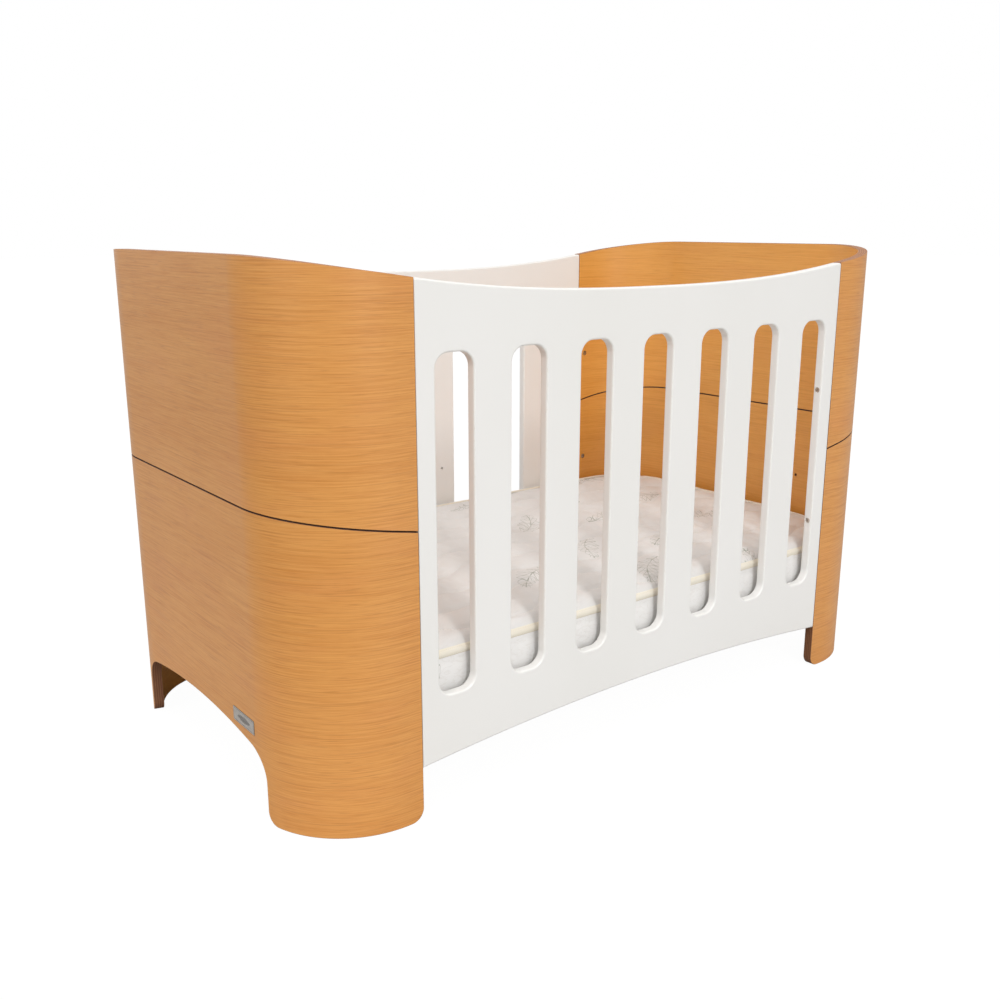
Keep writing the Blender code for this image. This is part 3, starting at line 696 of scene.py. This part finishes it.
def screw_mesh(length, steel):
    profile = [(0.0, 0.0044), (0.0002, 0.0048), (0.0026, 0.0025), (length - 0.003, 0.0025), (length, 0.0008)]
    screw = make("screw", lathe("screw", profile), steel)
    hollow(screw, cross_recess(0.0044, 0.0018))
    return pattern(screw)


def place_copy(name, mesh, matrix, body, slot, node):
    obj = make(name, mesh)
    obj.matrix_world = matrix
    return finish_piece(obj, body, slot, node)


def bolt_mesh(steel):
    """A socket-head bolt, headed at the origin and pointing along Z."""
    reach = BARREL_X + 0.008 - STILE_X
    head = [(0.0, 0.0043), (0.0006, 0.0049), (0.0010, 0.0050), (0.006, 0.005)]
    shank = [(0.006, 0.003), (reach - 0.0006, 0.003), (reach, 0.0024)]
    bolt = make("bolt", lathe("bolt", head + shank, 48), steel)
    hexagon = lathe("hexagon", [(-0.002, 0.0028), (0.003, 0.0028)], 6)
    hollow(bolt, [(hexagon, Matrix.Identity(4))])
    return pattern(bolt)


def nut_mesh(zinc):
    """A barrel nut with a screwdriver slit in its end and a hole for the bolt through its side."""
    profile = [(0.0, 0.0044), (0.0006, 0.005), (0.0134, 0.005), (0.014, 0.0044)]
    nut = make("nut", lathe("nut", profile, 40), zinc)
    thread = lathe("thread", [(-0.01, 0.0033), (0.01, 0.0033)], 24)
    slit = prism("slit", (0.02, 0.0012, 0.0030))
    hollow(nut, [(slit, Matrix.Identity(4)), (thread, along((0, 0, 0.008), (1, 0, 0)))])
    return pattern(nut)


def build_connectors(steel, zinc):
    bolt, nut = bolt_mesh(steel), nut_mesh(zinc)
    for where, front in SIDES:
        for end, side in ENDS:
            for level, z in BOLT_HEIGHTS.items():
                label = f"{where}_{end}_{level}"
                start = (side * (STILE_X + FIT), front * WALL_Y, z)
                place_copy(f"socket_bolt_{label}", bolt, along(start, (side, 0, 0), 0.3 * side * front),
                           "crib", "nickel_plated_steel", f"panel_bolt_{label}")
                start = (side * BARREL_X, front * (WIDTH / 2 - WALL + 0.001), z)
                place_copy(f"slotted_barrel_{label}", nut, along(start, (0, front, 0)),
                           "crib", "zinc_plated_steel", f"barrel_nut_{label}")


def bracket_places():
    places = []
    for end, side in ENDS:
        for where, front in SIDES:
            point = Vector((side * (LENGTH / 2 - WALL), front * BRACKET_Y, 0))
            places.append((f"{end}_{where}", point, Vector((side, 0, 0))))
    for where, front in SIDES:
        for end, side in ENDS:
            point = Vector((side * BRACKET_X, front * (WIDTH / 2 - WALL), 0))
            places.append((f"{where}_{end}", point, Vector((0, front, 0))))
    return places


def build_brackets(zinc):
    thick, width, foot, top = 0.003, 0.030, 0.026, 0.154
    under, inner, tip = RING_LOW - FIT, -FIT - thick, -FIT - foot
    ease, root, corner = 0.0012, 0.0008, 0.0035
    profile = arc((-FIT - ease, top - ease), ease, 0, 90, 5)
    profile += arc((inner + ease, top - ease), ease, 90, 180, 5)
    profile += arc((inner - root, under + root), root, 0, -90, 5)
    profile += arc((tip + ease, under - ease), ease, 90, 180, 5)
    profile += arc((tip + ease, under - thick + ease), ease, 180, 270, 5)
    profile += arc((-FIT - corner, under - thick + corner), corner, 270, 360, 9)
    angle = make("angle", board("angle", [profile], width, 0.0004, 2), zinc)
    sink = lathe("sink", [(-0.001, 0.0056), (0.0, 0.0052), (0.0026, 0.0030), (0.006, 0.0030)], 36)
    hollow(angle, [(sink, Matrix.Translation((inner, BRACKET_Z, 0)) @ Matrix.Rotation(math.pi / 2, 4, "Y"))])
    bent = pattern(angle)
    screw = screw_mesh(thick + FIT + SCREW_REACH - 0.001, zinc)
    for number, (name, point, outward) in enumerate(bracket_places()):
        place_copy(f"angle_bracket_{name}", bent, upright(point, outward),
                   "crib", "zinc_plated_steel", f"bracket_{name}")
        start = point + outward * inner + Vector((0, 0, BRACKET_Z))
        place_copy(f"cross_screw_{name}", screw, along(start, outward, 0.7 * number),
                   "crib", "zinc_plated_steel", f"bracket_screw_{name}")


# ---- base

def grain_across(mesh, seed):
    """Grain that runs across the crib, from front to rear."""
    x, y, _ = coordinates(mesh).T
    lay(mesh, y, x, seed)


def build_ring(number, end, side, ply, ply_edge):
    """Half of the base's frame, with the same round corners as the crib."""
    half_x, half_y = LENGTH / 2 - WALL - RING_ROOM, WIDTH / 2 - WALL - RING_ROOM
    radius = CORNER - WALL - RING_ROOM
    corner_x, corner_y = half_x - radius, half_y - radius
    lines = []
    for inset in (0.0, RING_WIDTH):
        line = [(FIT / 2, half_y - inset)]
        line += arc((corner_x, corner_y), radius - inset, 90, 0, 33)
        line += arc((corner_x, -corner_y), radius - inset, 0, -90, 33)
        lines.append(line + [(FIT / 2, -half_y + inset)])
    loop = [(side * x, y) for x, y in lines[0] + lines[1][::-1]]
    mesh = board(f"ring_{end}", [loop], RING_THICK, 0.0010, 2)
    mesh.transform(Matrix.Translation((0, 0, RING_LOW + RING_THICK / 2)))
    ring = make(f"ply_ring_{end}", mesh, ply, ply_edge)
    mesh = smooth(ring)
    x, y, z = coordinates(mesh).T
    lay(mesh, x, y, np.where(z > RING_LOW + RING_THICK / 2, 4.0, 9.0) + number)
    store(mesh, "depth", RING_LOW + RING_THICK - z)
    finish_piece(ring, "base", "birch_ply", f"base_frame_{end}")


def build_beam(beech, zinc):
    low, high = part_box("base_beam")
    beam = make("cross_beam", prism("beam", high - low, (low + high) / 2, 0.0015, 3), beech)
    sink = lathe("sink", [(-0.001, 0.0058), (0.0, 0.0054), (0.0026, 0.0031), (0.02, 0.0031)], 36)
    spots = []
    for where, front in SIDES:
        for end, side in ENDS:
            spots.append((f"beam_{where}_{end}", (side * BEAM_SCREW_X, front * BEAM_SCREW_Y, low.z)))
    hollow(beam, [(sink, Matrix.Translation(at)) for _, at in spots])
    grain_across(smooth(beam), 23.0)
    finish_piece(beam, "base", "beech", "base_beam")
    screw = screw_mesh(high.z - low.z + SCREW_REACH - 0.001, zinc)
    for number, (name, at) in enumerate(spots):
        place_copy(f"cross_screw_{name}", screw, along(at, (0, 0, 1), 0.9 * number),
                   "base", "zinc_plated_steel", name.replace("beam", "beam_screw"))


def build_base(ply, ply_edge, beech, zinc):
    for number, (end, side) in enumerate(ENDS):
        build_ring(number, end, side, ply, ply_edge)
    for i in range(SLATS):
        node = f"slat_{i + 1}"
        length = END_SLAT_LENGTH if i in (0, SLATS - 1) else SLAT_LENGTH
        low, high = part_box(node)
        mesh = prism(node, (SLAT_WIDTH, length, high.z - low.z), (low + high) / 2, 0.002, 4)
        slat = make(f"beech_{node}", mesh, beech)
        grain_across(smooth(slat), 1.7 * i)
        finish_piece(slat, "base", "beech", node)
    build_beam(beech, zinc)


# ---- plate

def plate_paint(name, colour, rough):
    """Rolled aluminium: long fine brush lines, or the duller floor of the engraving."""
    p = Paint(name)
    y, z, _ = p.split(p.at("sheet"))
    lines = p.noise(p.join(y * 60.0, z * 4200.0, 0.0), 2.0, 0.6)
    cloud = p.noise(p.join(y * 90.0, z * 120.0, 3.0), 3.0, 0.6)
    tint = p.mix(p.range(cloud, 0.35, 0.7, 0.0, 0.5), colour, darker(colour, 0.65))
    return p.set(Base_Color=tint, Metallic=1.0, Roughness=p.range(lines, 0.3, 0.7, rough, rough + 0.14),
                 Normal=p.bump(lines, 0.00002, 0.5), Anisotropic=0.5)


def build_plate(brushed, engraved):
    """A blank plate with an engraved border and a row of upright lines that shorten to its ends."""
    low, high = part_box("blank_plate")
    half_y, half_z = (high.y - low.y) / 2, (high.z - low.z) / 2
    thick, depth = 0.0016, 0.0004
    plate = make("blank_plate_engraved",
                 board("plate", [rounded_box(half_y, half_z, 0.0018)], thick, 0.00025, 2), brushed, engraved)
    insets = ((0.0020, 0.0012), (0.0025, 0.0009))
    border = [rounded_box(half_y - inset, half_z - inset, bow) for inset, bow in insets]
    tools = [board("ring", border, depth, 0.00001, 0)]
    for i in range(-8, 9):
        line = rounded_box(0.00065, 0.0050 * math.cos(i / 8 * 1.25), 0.0006, 5)
        tools.append(board("reed", [line], depth, 0.00001, 0))
        tools[-1].transform(Matrix.Translation((0.0026 * i, 0, 0)))
    for tool in tools:
        tool.polygons.foreach_set("material_index", np.ones(len(tool.polygons), np.int32))
    hollow(plate, [(tool, Matrix.Translation((0, 0, thick / 2))) for tool in tools])
    middle = (low + high) / 2
    plate.data.transform(upright((middle.x - 0.0002, middle.y, middle.z), (0, -1, 0)))
    mesh = smooth(plate)
    _, y, z = coordinates(mesh).T
    lay(mesh, y, z)
    finish_piece(plate, "crib", "brushed_aluminium", "blank_plate")


# ---- mattress

MAT_LOW, MAT_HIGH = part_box("mattress")
MAT_X, MAT_Y = (MAT_HIGH.x - MAT_LOW.x) / 2, (MAT_HIGH.y - MAT_LOW.y) / 2
MAT_CORNER = 0.140
MAT_RIM = 0.022
MAT_SIDE, MAT_DROP = 0.001, 0.002
TAPE_FROM, TAPE_DOWN, TAPE_THICK = math.radians(68), 0.0054, 0.0024
TAPE_WIDTH = MAT_RIM * (math.pi / 2 - TAPE_FROM) + TAPE_DOWN
TAPE_PULL = MAT_RIM * TAPE_FROM * 0.9
CHANNEL = 0.078
VOXEL = 0.0096
CLOTH = {"vertex_group_mass": "held", "use_pressure": True, "uniform_pressure_force": 4.0, "quality": 4,
         "mass": 0.3, "shrink_min": -0.025, "tension_stiffness": 12.0, "compression_stiffness": 12.0,
         "bending_stiffness": 0.35}
CLOTH_STEPS = 20


def quilt_row(x, y):
    """Which sewn channel a point of the top is near: whole numbers lie on one, and they waver."""
    sway = 0.020 * np.sin(2 * math.pi * x / 0.335 + 0.8) + 0.007 * np.sin(2 * math.pi * x / 0.143 + y * 4.0)
    return (y + sway) / CHANNEL


def to_channel(x, y):
    row = quilt_row(x, y)
    return np.abs(row - np.round(row)) * CHANNEL


def rim_run(x, y):
    """How far round the mattress a point of its side is, in metres from the middle of the right end."""
    flat_x, flat_y = MAT_X - MAT_CORNER, MAT_Y - MAT_CORNER
    bow = MAT_CORNER * math.pi / 2
    ax, ay = np.abs(x), np.abs(y)
    angle = np.arctan2(np.maximum(ay - flat_y, 0), np.maximum(ax - flat_x, 0))
    past_corner = np.where(ax <= flat_x, flat_y + bow + flat_x - ax, flat_y + MAT_CORNER * angle)
    quarter = np.where(ay <= flat_y, ay, past_corner)
    whole = flat_y + bow + flat_x
    run = np.where(x >= 0, quarter, 2 * whole - quarter)
    return np.where(y >= 0, run, -run)


def far_side(x, y):
    """1 along the rear and right edges, where the tape is pulled up over the mattress, falling to 0."""
    reach = np.maximum(x - (MAT_X - 0.045), y - (MAT_Y - 0.045)) / 0.045
    fall_x, fall_y = (x + MAT_X) / 0.30, (y + MAT_Y) / 0.16
    return np.clip(reach, 0, 1) * np.clip(fall_x - 0.2, 0, 1) * np.clip(fall_y - 0.2, 0, 1)


def wrinkles(co, scale, seed):
    """Smooth noise from -1 to 1 at each point, the same in every run."""
    sx, sy, sz = scale
    return np.array([noise.noise(Vector((x * sx, y * sy, z * sz + seed))) for x, y, z in co])


def held_points(co, crown):
    """Which points the simulation leaves alone: the sewn channels, the edge under each tape, and the base."""
    x, y, z = co.T
    top = MAT_HIGH.z - MAT_DROP
    held = crown & (to_channel(x, y) < 0.0056)
    held |= np.abs(z - top + MAT_RIM) < 0.011
    held |= (far_side(x, y) > 0.3) & (z > top - MAT_RIM)
    return held | (z < MAT_LOW.z + 0.012)


def inflate(pad, held):
    """Blows the pad up by cloth simulation and applies it."""
    group = pad.vertex_groups.new(name="held")
    group.add([int(i) for i in np.flatnonzero(held)], 1.0, "REPLACE")
    cloth = pad.modifiers.new("cloth", "CLOTH")
    for key, value in CLOTH.items():
        setattr(cloth.settings, key, value)
    cloth.settings.effector_weights.gravity = 0.0
    cloth.collision_settings.use_collision = False
    cloth.point_cache.frame_start, cloth.point_cache.frame_end = 1, CLOTH_STEPS
    for step in range(1, CLOTH_STEPS + 1):
        bpy.context.scene.frame_set(step)
    settled(pad)
    bpy.context.scene.frame_set(1)


def stuffed(name, cap_top, cap_side):
    """A closed pad, blown up from a slightly smaller mattress by no more than the two caps."""
    height = MAT_HIGH.z - MAT_LOW.z - MAT_DROP
    outline = rounded_box(MAT_X - MAT_SIDE, MAT_Y - MAT_SIDE, MAT_CORNER - MAT_SIDE, 15)
    mesh = board(name, [outline], height, MAT_RIM, 4)
    mesh.transform(Matrix.Translation((0, 0, MAT_LOW.z + height / 2)))
    pad = make(name, mesh)
    cells = pad.modifiers.new("cells", "REMESH")
    cells.mode = "VOXEL"
    cells.voxel_size = VOXEL
    settled(pad)
    start = coordinates(pad.data)
    crown = start[:, 2] > MAT_HIGH.z - MAT_DROP - 0.003
    inflate(pad, held_points(start, crown))
    shift = coordinates(pad.data) - start
    length = np.linalg.norm(shift, axis=1) + 1e-9
    cap = np.where(crown, cap_top, cap_side)
    moved(pad.data, start + shift * (cap * np.tanh(length / cap) / length)[:, None])
    return pad


def normals_of(mesh):
    normals = np.empty(len(mesh.vertices) * 3)
    mesh.vertex_normals.foreach_get("vector", normals)
    return normals.reshape(-1, 3)


def sew(mesh, rim_z):
    """Presses in the sewn channels, puckers the cloth beside them, folds the sides, and lays the print."""
    co, normals = coordinates(mesh), normals_of(mesh)
    x, y, z = co.T
    up = np.clip((normals[:, 2] - 0.75) / 0.15, 0, 1)
    low = np.clip((-normals[:, 2] - 0.75) / 0.15, 0, 1)
    side = 1 - np.maximum(up, low)
    off, run = to_channel(x, y), rim_run(x, y)
    pucker = wrinkles(co, (46.0, 20.0, 20.0), 3.0) + 0.6 * wrinkles(co, (90.0, 34.0, 30.0), 9.0)
    lift = -0.0032 * np.exp(-(off / 0.0055) ** 2) + 0.0018 * pucker * np.exp(-off / 0.022)
    lift += 0.0016 * wrinkles(co, (7.0, 11.0, 7.0), 5.0)
    round_rim = np.stack([run * 17.0, z * 5.0, z * 0], 1)
    fold = wrinkles(round_rim, (1, 1, 1), 1.0) + 0.5 * wrinkles(round_rim, (2.6, 2.0, 1), 6.0)
    groove = -0.0012 * np.exp(-((z - rim_z + 0.016) / 0.0035) ** 2)
    gather = 0.0006 * wrinkles(np.stack([run * 70.0, z * 18.0, z * 0], 1), (1, 1, 1), 4.0)
    co += normals * (up * lift + side * (0.0015 * fold + gather + groove) + low * 0.0010 * pucker)[:, None]
    co[:, 2] = np.maximum(co[:, 2], MAT_LOW.z - 0.0002)
    moved(mesh, co)
    x, y, z = co.T
    on_top = z > rim_z
    lay(mesh, np.where(on_top, x, run), np.where(on_top, y, z), np.where(on_top, 0.0, 1.0))
    store(mesh, "channel", np.where(on_top | (z < MAT_LOW.z + 0.02), quilt_row(x, y), 0.5))


def build_mattress(knit, tape):
    rim_z = MAT_HIGH.z - MAT_DROP - MAT_RIM
    pad = stuffed("quilted_mattress", 0.0095, 0.0030)
    finer = pad.modifiers.new("finer", "SUBSURF")
    finer.levels = finer.render_levels = 1
    mesh = settled(pad)
    sew(mesh, rim_z)
    mesh.materials.append(knit)
    smooth(pad, False)
    finish_piece(pad, "mattress", "mattress_fabric", "mattress")
    for name, edge, turn in (("upper", rim_z, 1), ("lower", MAT_LOW.z + MAT_RIM, -1)):
        band = build_tape(f"edge_tape_{name}", edge, turn, tape)
        finish_piece(band, "mattress", "mattress_fabric")


def tape_point(reach, lift, edge, turn):
    """A point over the rounded edge, this far down from the flat face along the cloth and lifted off it."""
    angle = min(reach / MAT_RIM, math.pi / 2)
    drop = max(reach - MAT_RIM * math.pi / 2, 0.0)
    out = MAT_RIM * (math.sin(angle) - 1) - MAT_SIDE + lift * math.sin(angle)
    return out, edge + turn * (MAT_RIM * math.cos(angle) + lift * math.cos(angle) - drop)


def tape_section():
    """The tape's cut shape: distance across it and height off the cloth, over the top and back below."""
    top = []
    for across in np.linspace(0, TAPE_WIDTH, 10):
        swell = math.sin(math.pi * min(max(across / TAPE_WIDTH, 0.05), 0.95)) ** 0.5
        top.append((across, TAPE_THICK * swell))
    return top + [(across, -0.0015) for across, _ in top[::-1]]


def tape_track():
    """Points about 9 mm apart round the mattress's edge, each with the way that is outwards there."""
    loop = []
    for px, py, start in ((1, 1, 0), (-1, 1, 90), (-1, -1, 180), (1, -1, 270)):
        centre = Vector((px * (MAT_X - MAT_CORNER), py * (MAT_Y - MAT_CORNER)))
        for angle in np.radians(np.linspace(start, start + 90, 25)):
            out = Vector((math.cos(angle), math.sin(angle)))
            loop.append((centre + out * MAT_CORNER, out))
    track = []
    for (a, out_a), (b, out_b) in zip(loop, loop[1:] + loop[:1]):
        parts = max(1, round((b - a).length / 0.009))
        for i in range(parts):
            track.append((a.lerp(b, i / parts), out_a.lerp(out_b, i / parts).normalized()))
    return track


def build_tape(name, edge, turn, paint):
    """A tape sewn over the mattress's long edge, pulled up over it along the far sides of the upper face."""
    track, section = tape_track(), tape_section()
    verts, sheet = [], []
    length = 0.0
    for k, (at, out) in enumerate(track):
        ripple = noise.noise(Vector((at.x * 34, at.y * 34, 2.0)))
        pulled = TAPE_PULL * float(far_side(at.x, at.y)) if turn > 0 else 0.0
        for across, lift in section:
            lift += 0.0008 * ripple * math.sin(math.pi * across / TAPE_WIDTH)
            reach, z = tape_point(MAT_RIM * TAPE_FROM - pulled + across, lift, edge, turn)
            verts.append((at.x + out.x * reach, at.y + out.y * reach, z))
            sheet.append((length, across))
        length += (track[(k + 1) % len(track)][0] - at).length
    sides, faces = len(section), []
    for k in range(len(track)):
        here, after = k * sides, (k + 1) % len(track) * sides
        for i in range(sides):
            j = (i + 1) % sides
            faces.append((here + i, here + j, after + j, after + i))
    mesh = bpy.data.meshes.new(name)
    mesh.from_pydata(verts, [], faces)
    mesh.validate()
    bm = opened(mesh)
    bmesh.ops.recalc_face_normals(bm, faces=bm.faces)
    closed(bm, mesh)
    lay(mesh, *np.array(sheet).T)
    band = make(name, mesh, paint)
    smooth(band, False)
    return band


def sprig_ink(p, x, y, kind):
    """A sprig in each square of a grid, turned and moved at random: a bowed stem with leaves."""
    size = 0.190
    cell_x = p.math("FLOOR", x / size)
    shifted = p.math("MULTIPLY_ADD", p.math("FRACT", cell_x * 0.5), size * 0.9, y)
    cell_y = p.math("FLOOR", shifted / size)
    toss = p.add("TexWhiteNoise", p.join(cell_x, cell_y, kind), out=1, noise_dimensions="3D")
    toss_x, toss_y, toss_z = p.split(toss)
    across = x - (cell_x + 0.5) * size + p.math("MULTIPLY_ADD", toss_x, -0.05, 0.025)
    down = shifted - (cell_y + 0.5) * size + p.math("MULTIPLY_ADD", toss_y, -0.05, 0.025)
    turned = p.add("VectorRotate", p.join(across, down), (0, 0, 0), (0, 0, 1), toss_z * 6.28,
                   rotation_type="AXIS_ANGLE")
    u, v, _ = p.split(turned)
    v = v - u * u * 3.2
    step = 0.0180
    beside = abs(v)
    lean = u - beside * 0.85
    part = (p.math("FRACT", lean / step) - 0.5) * step
    reach = p.range(abs(u), 0.0, 0.072, 0.030, 0.008)
    grow = beside / reach
    belly = p.math("SINE", grow * math.pi) * (step * 0.40) * (grow < 1.0)
    outline = abs(abs(part) - belly)
    leaf = p.range(outline, 0.0006, 0.0014, 1.0, 0.0) * (grow < 1.0)
    vein = p.range(abs(part), 0.0002, 0.0005, 0.7, 0.0) * (grow < 0.8)
    stem = p.range(beside, 0.0007, 0.0015, 1.0, 0.0)
    drawn = p.math("MAXIMUM", p.math("MAXIMUM", leaf, vein), stem)
    drawn = drawn * (abs(u) < 0.066) * (p.math("FRACT", toss_x * 7.3) > 0.18)
    faint = p.noise(p.join(x * 60.0, y * 60.0, kind), 2.0, 0.6)
    return drawn * p.range(faint, 0.35, 0.65, 0.25, 0.72)


def knit_paint():
    """White mattress knit: fine ribs, soft wrinkles, sewn channels, and a sparse print of sprigs; painted
    shade in the creases and sewn lines, and the side painted lighter than the top.
    """
    p = Paint("quilted_knit")
    x, y, kind = p.split(p.at("sheet"))
    row = p.at("channel", "Fac")
    off = p.math("PINGPONG", row, 0.5) * CHANNEL
    ribs = p.math("SINE", y * (2 * math.pi / 0.0013))
    loops = p.math("SINE", p.math("MULTIPLY_ADD", ribs, 0.8, x * (2 * math.pi / 0.0017)))
    knit = p.math("MULTIPLY_ADD", ribs, 0.5, 0.5) * p.math("MULTIPLY_ADD", loops, 0.5, 0.5)
    folds = p.noise(p.join(x * 30.0, y * 75.0, kind), 3.0, 0.6, 0.8)
    crease = p.range(abs(folds - 0.5), 0.0, 0.035, 1.0, 0.0)
    near = p.range(off, 0.004, 0.030, 1.0, 0.15)
    thread = p.range(off, 0.0004, 0.0009, 1.0, 0.0)
    dash = p.range(p.math("PINGPONG", x, 0.0024), 0.0004, 0.0007)
    stitch = thread * dash
    ink = sprig_ink(p, x, y, kind)
    cloud = p.noise(p.join(x * 9.0, y * 9.0, kind), 2.0, 0.5)
    colour = p.mix(p.range(cloud, 0.3, 0.7), srgb(228, 227, 226), srgb(233, 233, 233))
    # Painted light: the side is painted lighter than the top, to brighten it in the shaded gap behind the
    # panels.
    colour = p.over(colour, (kind * 0.7, (249, 248, 247)),
                    # Painted shade in the creases of the folds, stronger on the side.
                    (crease * p.range(kind, 0.0, 1.0, 0.06, 0.16), (196, 186, 176)),
                    # Painted shade in the sunken sewn groove, between the lighter stitches.
                    (thread * 0.30, (205, 194, 182)),
                    (stitch, (247, 245, 242)),
                    (p.range(knit, 0.0, 1.0, 0.10, 0.0), (210, 204, 197)),
                    (ink, (122, 128, 108)))
    relief = p.bump(knit, 0.00012, 0.45)
    relief = p.bump(crease * near, 0.0012, 0.35, relief)
    relief = p.bump(stitch - thread, 0.0008, 0.6, relief)
    return p.set(Base_Color=colour, Roughness=p.range(knit, 0.0, 1.0, 0.95, 0.82), Normal=relief,
                 Sheen_Weight=0.25, Sheen_Roughness=0.45, Specular_IOR_Level=0.25)


def tape_paint():
    """Cream binding tape: a fine herringbone weave with a row of stitches near each edge, painted shade in
    the stitch rows and a painted shadow along its lower edge.
    """
    p = Paint("cream_binding_tape")
    run, across, _ = p.split(p.at("sheet"))
    flip = abs(across - TAPE_WIDTH / 2)
    twill = p.math("SINE", (run + flip) * (2 * math.pi / 0.0011))
    cross = p.math("SINE", across * (2 * math.pi / 0.0009))
    weave = p.math("MULTIPLY_ADD", twill, 0.35, p.math("MULTIPLY_ADD", cross, 0.15, 0.5))
    edge = abs(flip - 0.0046)
    row = p.range(edge, 0.0003, 0.0007, 1.0, 0.0)
    dash = p.range(p.math("PINGPONG", run, 0.0018), 0.0003, 0.0006)
    stitch = row * dash
    cloud = p.noise(p.join(run * 18.0, across * 60.0, 0.0), 2.0, 0.5)
    colour = p.mix(p.range(cloud, 0.3, 0.7), srgb(245, 239, 224), srgb(249, 245, 234))
    colour = p.over(colour, (p.range(weave, 0.0, 1.0, 0.25, 0.0), (214, 198, 166)),
                    # Painted shade in the sunken stitch rows, between the stitches.
                    ((row - stitch) * 0.35, (196, 180, 150)))
    # Painted shadow: a dark line along the tape's lower edge, where it overhangs the side.
    painted_tape_shadow = p.range(across, TAPE_WIDTH - 0.0014, TAPE_WIDTH - 0.0004, 0.0, 0.6)
    colour = p.mix(painted_tape_shadow, colour, srgb(190, 172, 146))
    relief = p.bump(stitch - row, 0.0007, 0.6, p.bump(weave, 0.00015, 0.5))
    return p.set(Base_Color=colour, Roughness=p.range(weave, 0.0, 1.0, 0.85, 0.62), Normal=relief,
                 Sheen_Weight=0.2, Specular_IOR_Level=0.3)


# ---- stage, lights and camera

def area_light(name, place, size, power, colour=(1.0, 1.0, 1.0)):
    """A soft round lamp aimed at the middle of the crib."""
    light = bpy.data.lights.new(name, "AREA")
    light.shape = "DISK"
    light.size = size
    light.energy = power
    light.color = colour
    lamp = make(name, light)
    lamp.location = place
    lamp.rotation_euler = (Vector((0.0, 0.0, 0.45)) - Vector(place)).to_track_quat("-Z", "Y").to_euler()


def show_white(nodes, shader, white, share, output):
    """Lets the camera see a share of plain white over a shader, so the stage burns out as in a studio."""
    seen = nodes.add("LightPath", out="Is Camera Ray") * share
    nodes.put(nodes.tree.nodes[output].inputs[0], nodes.add("MixShader", seen, shader, white))


def build_floor():
    """Pale paper, darker away to the left, so that less light comes up from there."""
    p = Paint("pale_floor")
    mottle = p.noise(p.scaled(p.place(), 1.5, 1.5, 1.5), 3.0, 0.5)
    paper = p.mix(p.range(mottle, 0.3, 0.7), srgb(178, 177, 176), srgb(184, 183, 182))
    east, north, _ = p.split(p.place())
    beyond = p.range(p.math("MULTIPLY_ADD", north, 0.45, east), -1.6, -1.0, 1.0, 0.0)
    material = p.set(Base_Color=p.mix(beyond, paper, srgb(104, 103, 102)), Roughness=0.9)
    glow = p.add("Emission", (1.0, 1.0, 1.0, 1.0), 1.085)
    show_white(p, Value(p, p.shader.outputs[0]), glow, 0.90, "Material Output")
    half = 30.0
    mesh = bpy.data.meshes.new("studio_floor")
    corners = [(-half, -half, 0), (half, -half, 0), (half, half, 0), (-half, half, 0)]
    mesh.from_pydata(corners, [], [(0, 1, 2, 3)])
    floor = make("studio_floor", mesh, material)
    floor.location.z = -0.0005


def build_dome():
    """Soft white light from all round, stronger from above and from behind the crib."""
    world = bpy.data.worlds.new("studio_dome")
    world.use_nodes = True
    sky = Nodes(world.node_tree)
    _, north, height = sky.split(sky.add("TexCoord", out="Generated"))
    strength = sky.range(height, 0.0, 1.0, 0.42, 1.14) + sky.range(north, 0.35, 1.0, 0.0, 0.40)
    dome = sky.tree.nodes["Background"]
    sky.put(dome.inputs[0], (1.0, 0.992, 0.980, 1.0))
    sky.put(dome.inputs[1], strength)
    plain = sky.add("Background", (1.0, 1.0, 1.0, 1.0))
    show_white(sky, Value(sky, dome.outputs[0]), plain, 1.0, "World Output")
    bpy.context.scene.world = world


def build_camera():
    data = bpy.data.cameras.new("view")
    data.lens = 38.221
    data.sensor_width = 36.0
    data.clip_end = 100.0
    camera = make("view", data)
    camera.location = (-1.29770677, -1.62763434, 0.89920075)
    camera.rotation_euler = (math.radians(75.5), 0.0, math.radians(-37.663))
    bpy.context.scene.camera = camera


def build_stage():
    build_floor()
    build_dome()
    build_camera()
    bpy.context.scene.view_settings.view_transform = "Standard"
    area_light("key_softbox", (-1.04, -4.20, 2.95), 0.8, 62.0, (1.0, 1.0, 0.99))
    area_light("front_fill", (-0.2, -4.6, 1.6), 3.0, 20.0)
    area_light("side_softbox", (-4.5, -1.2, 2.5), 2.4, 45.0)


# ---- everything together

def repaint(material, *nodes):
    """Gives CAD nodes whose shape is right their finished material."""
    for node in nodes:
        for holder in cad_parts[node].material_slots:
            holder.material = material


def main():
    veneer = veneer_paint()
    ply_edge = ply_edge_paint("walnut_ply_edge", (198, 140, 94), (164, 108, 70), (108, 62, 38))
    birch_edge = ply_edge_paint("birch_ply_edge", (226, 202, 166), (196, 160, 116), (120, 82, 52))
    birch = plain_wood_paint("birch_face", (228, 206, 172), (214, 186, 146), (190, 152, 108))
    beech = plain_wood_paint("sanded_beech", (226, 190, 150), (208, 166, 122), (168, 116, 78))
    pin = plain_wood_paint("beech_pin", (222, 186, 146), (204, 162, 118), (168, 116, 78), stored=False)
    steel = metal_paint("nickel_plating", srgb(212, 204, 196), 0.32, (300.0, 300.0, 900.0))
    zinc = metal_paint("zinc_plating", srgb(178, 178, 176), 0.34, (240.0, 240.0, 1200.0))
    build_ends(veneer, ply_edge)
    build_panels(white_paint())
    build_connectors(steel, zinc)
    build_brackets(zinc)
    build_base(birch, birch_edge, beech, zinc)
    build_plate(plate_paint("brushed_aluminium_plate", srgb(228, 227, 224), 0.28),
                plate_paint("engraved_floor", srgb(92, 90, 88), 0.45))
    build_mattress(knit_paint(), tape_paint())
    for end, _ in ENDS:
        for where, _ in SIDES:
            repaint(pin, f"seam_dowel_{end}_{where}")
    build_stage()
    bpy.context.view_layer.update()


main()
